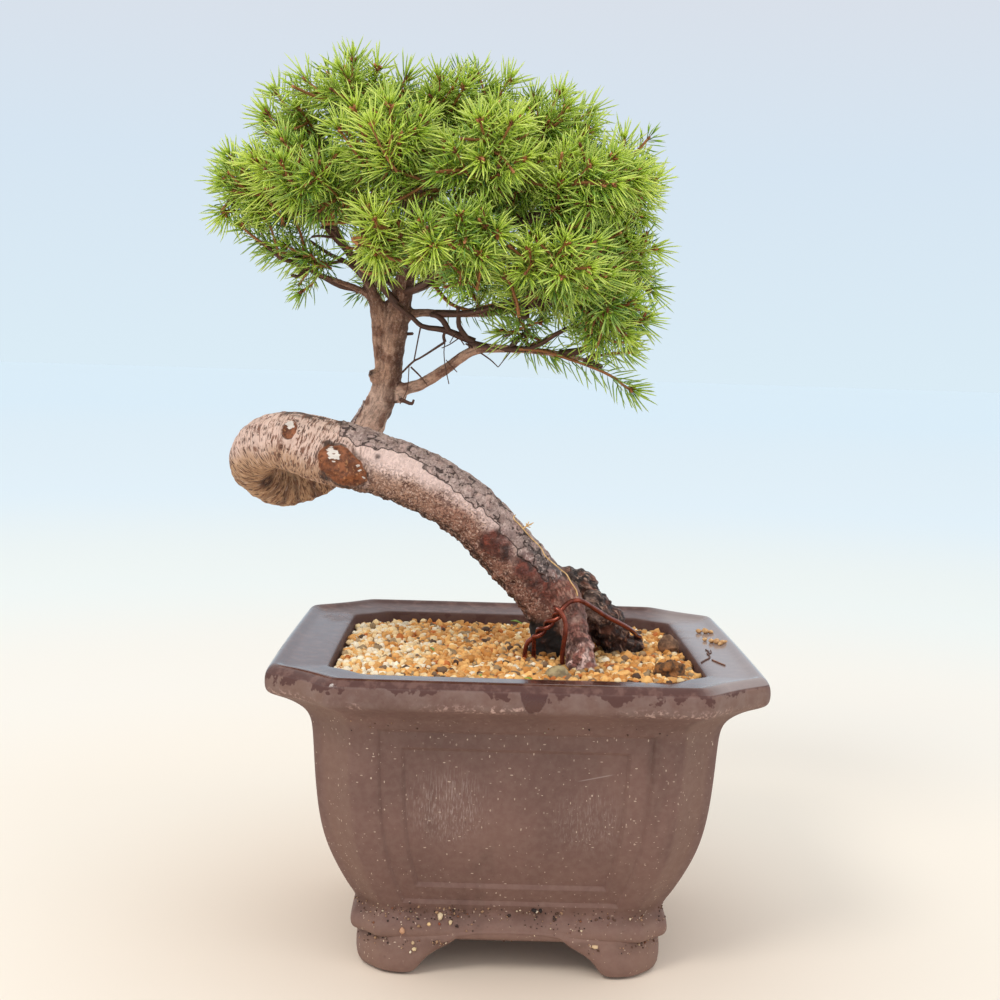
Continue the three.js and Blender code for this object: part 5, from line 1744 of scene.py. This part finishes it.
rim_crumbs = [
    [(79.5, 31, 1.3), (82.2, 30, 1.6), (84.4, 29, 1.1)],
    [(79.4, 13, 1.0), (81.4, 9, 1.2), (83.4, 7, 1.5)],
    [(85.2, 5, 1.4), (87, 6, 1.2), (84, 3, 0.9)],
]
for number, crumbs in enumerate(rim_crumbs):
    name = f"rim_grain_{number + 1}"
    pieces = [lump(name, (x, y, rim_at(min(x, 84)) + size * 0.55), (size, size * 0.9, size * 0.75), 0.3,
                   number * 5 + i * 2.1, 2) for i, (x, y, size) in enumerate(crumbs)]
    pick_only(pieces[0])
    for piece in pieces[1:]:
        piece.select_set(True)
    bpy.ops.object.join()
    pieces[0].name = name
    finish_piece(pieces[0], rim_soil, "soil", name)

rim_twig_route = [
    (76.8, -6), (77.4, -10), (76.2, -13.5), (76.4, -18), (75.8, -22), (73.6, -26), (71.4, -30)]


def on_rim(route, radius):
    """A run that lies on the rim along the given places."""
    settled = []
    for x, y in route:
        spot, _, _, _ = pot_skin.ray_cast(place(x, y, 130), Vector((0, 0, -1)))
        settled.append((x, y, in_mm(spot)[2] + radius * 0.8, radius))
    return smooth_route(settled, 4)


rim_twig_side = [(76.4, -15), (78, -12), (78.6, -7)]
rim_twig = round_runs("rim_twig", [on_rim(rim_twig_route, 0.3), on_rim(rim_twig_side, 0.24)], 1)
finish_piece(rim_twig, grained("dead_twig", (112, 70, 54), (70, 44, 36), 0.6, 500.0), "bark", "rim_twig")
fallen_needle = round_runs("fallen_needle", [on_rim([(76.2, -26), (77.6, -31), (79.4, -36.5)], 0.32)], 1)
dead_needle = grained("dead_needle", (150, 100, 76), (110, 70, 54), 0.6, 400.0)
finish_piece(fallen_needle, dead_needle, "straw", "fallen_needle")

# Green needles that have dropped lie on the soil, each a short bent blade that tapers to its ends.
# The list gives each one's place, direction and half length.
green_places = [(-13, -57, 0.5, 3.2), (4, -60, 2.6, 2.6), (-33, -10, 1.9, 3.4), (2, 57, 2.3, 3.6)]
green_bits = []
for x, y, turn, size in green_places:
    dx, dy = math.cos(turn) * size, math.sin(turn) * size
    green_bits.append(smooth_route(
        [(x - dx, y - dy, 114.6, 0.3), (x, y, 115.2, 0.42), (x + dx, y + dy, 114.7, 0.2)], 3))
dropped_needles = round_runs("dropped_needles", green_bits, 0)
finish_piece(dropped_needles, grained("green_bits", (140, 178, 70), (96, 136, 50), 0.5, 400.0), "needles")

# A plain pale floor that reaches to the horizon, warm near the pot and cooler far away. It is only
# there for the picture, so it is staged and is no part of the object.
def tones_along(share, steps):
    """A ramp of colours, given as places along it and the tones there."""
    ramp = add_node(share.socket.id_data, "ValToRGB", _0=share)
    stops = ramp.socket.node.color_ramp.elements
    for i, (spot, tone) in enumerate(steps):
        stop = stops[i] if i < 2 else stops.new(spot)
        stop.position = spot
        stop.color = paint(*tone)
    return ramp


deselect_everything()
bpy.ops.mesh.primitive_circle_add(vertices=96, radius=40, fill_type="TRIFAN", location=(0, 0, 0))
floor = bpy.context.object
floor.name = "floor"
pale_ground = Material("floor", Roughness=0.9, Specular_IOR_Level=0.1)
far = on_places("LENGTH", pale_ground.own()).out("Value")
floor_tones = tones_along(calculate("DIVIDE", far, 8.0), [
    (0.0, (242, 226, 208)), (0.03, (242, 234, 222)), (0.06, (240, 236, 228)), (0.12, (234, 240, 238)),
    (0.25, (226, 240, 248)), (0.9, (222, 240, 251))])
floor_tones.socket.node.color_ramp.interpolation = "EASE"
pale_ground.join(Base_Color=floor_tones)
give_material(floor, pale_ground)
floor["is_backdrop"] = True

# Soft daylight all round, paler and warmer low down, and two broad lamps: one high on the left in
# front, and a weaker one on the right that fills the shadows.
sky = bpy.data.worlds.new("soft_daylight")
bpy.context.scene.world = sky
sky.use_nodes = True
sky_direction = add_node(sky.node_tree, "TexCoord").out("Generated")
upward_share = add_node(sky.node_tree, "SeparateXYZ", _0=sky_direction).out("Z")
sky_tones = tones_along(upward_share, [
    (0.0, (219, 236, 246)), (0.14, (214, 229, 242)), (0.25, (217, 224, 234)), (0.42, (255, 255, 255))])
background = sky.node_tree.nodes["Background"]
fill_socket(background.inputs["Color"], sky_tones)
fill_socket(background.inputs["Strength"], 1.0)


def soft_lamp(name, spot, aim, size, power, tone):
    lamp = bpy.data.objects.new(name, bpy.data.lights.new(name, "AREA"))
    bpy.context.scene.collection.objects.link(lamp)
    lamp.data.shape = "DISK"
    lamp.data.size = size
    lamp.data.energy = power
    lamp.data.color = tone
    lamp.location = spot
    lamp.rotation_euler = (Vector(aim) - Vector(spot)).to_track_quat("-Z", "Y").to_euler()


soft_lamp("key_lamp", (-0.75, -1.0, 1.35), (0, 0, 0.16), 0.55, 9, (1, 0.96, 0.9))
soft_lamp("fill_lamp", (1.3, -0.9, 0.8), (0, 0, 0.15), 1.0, 3, (1, 0.98, 0.96))

# The sizes of the CAD model and of what is shown.
low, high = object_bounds()
{"cad": [list(cad_low), list(cad_high)], "shown": [list(low), list(high)]}
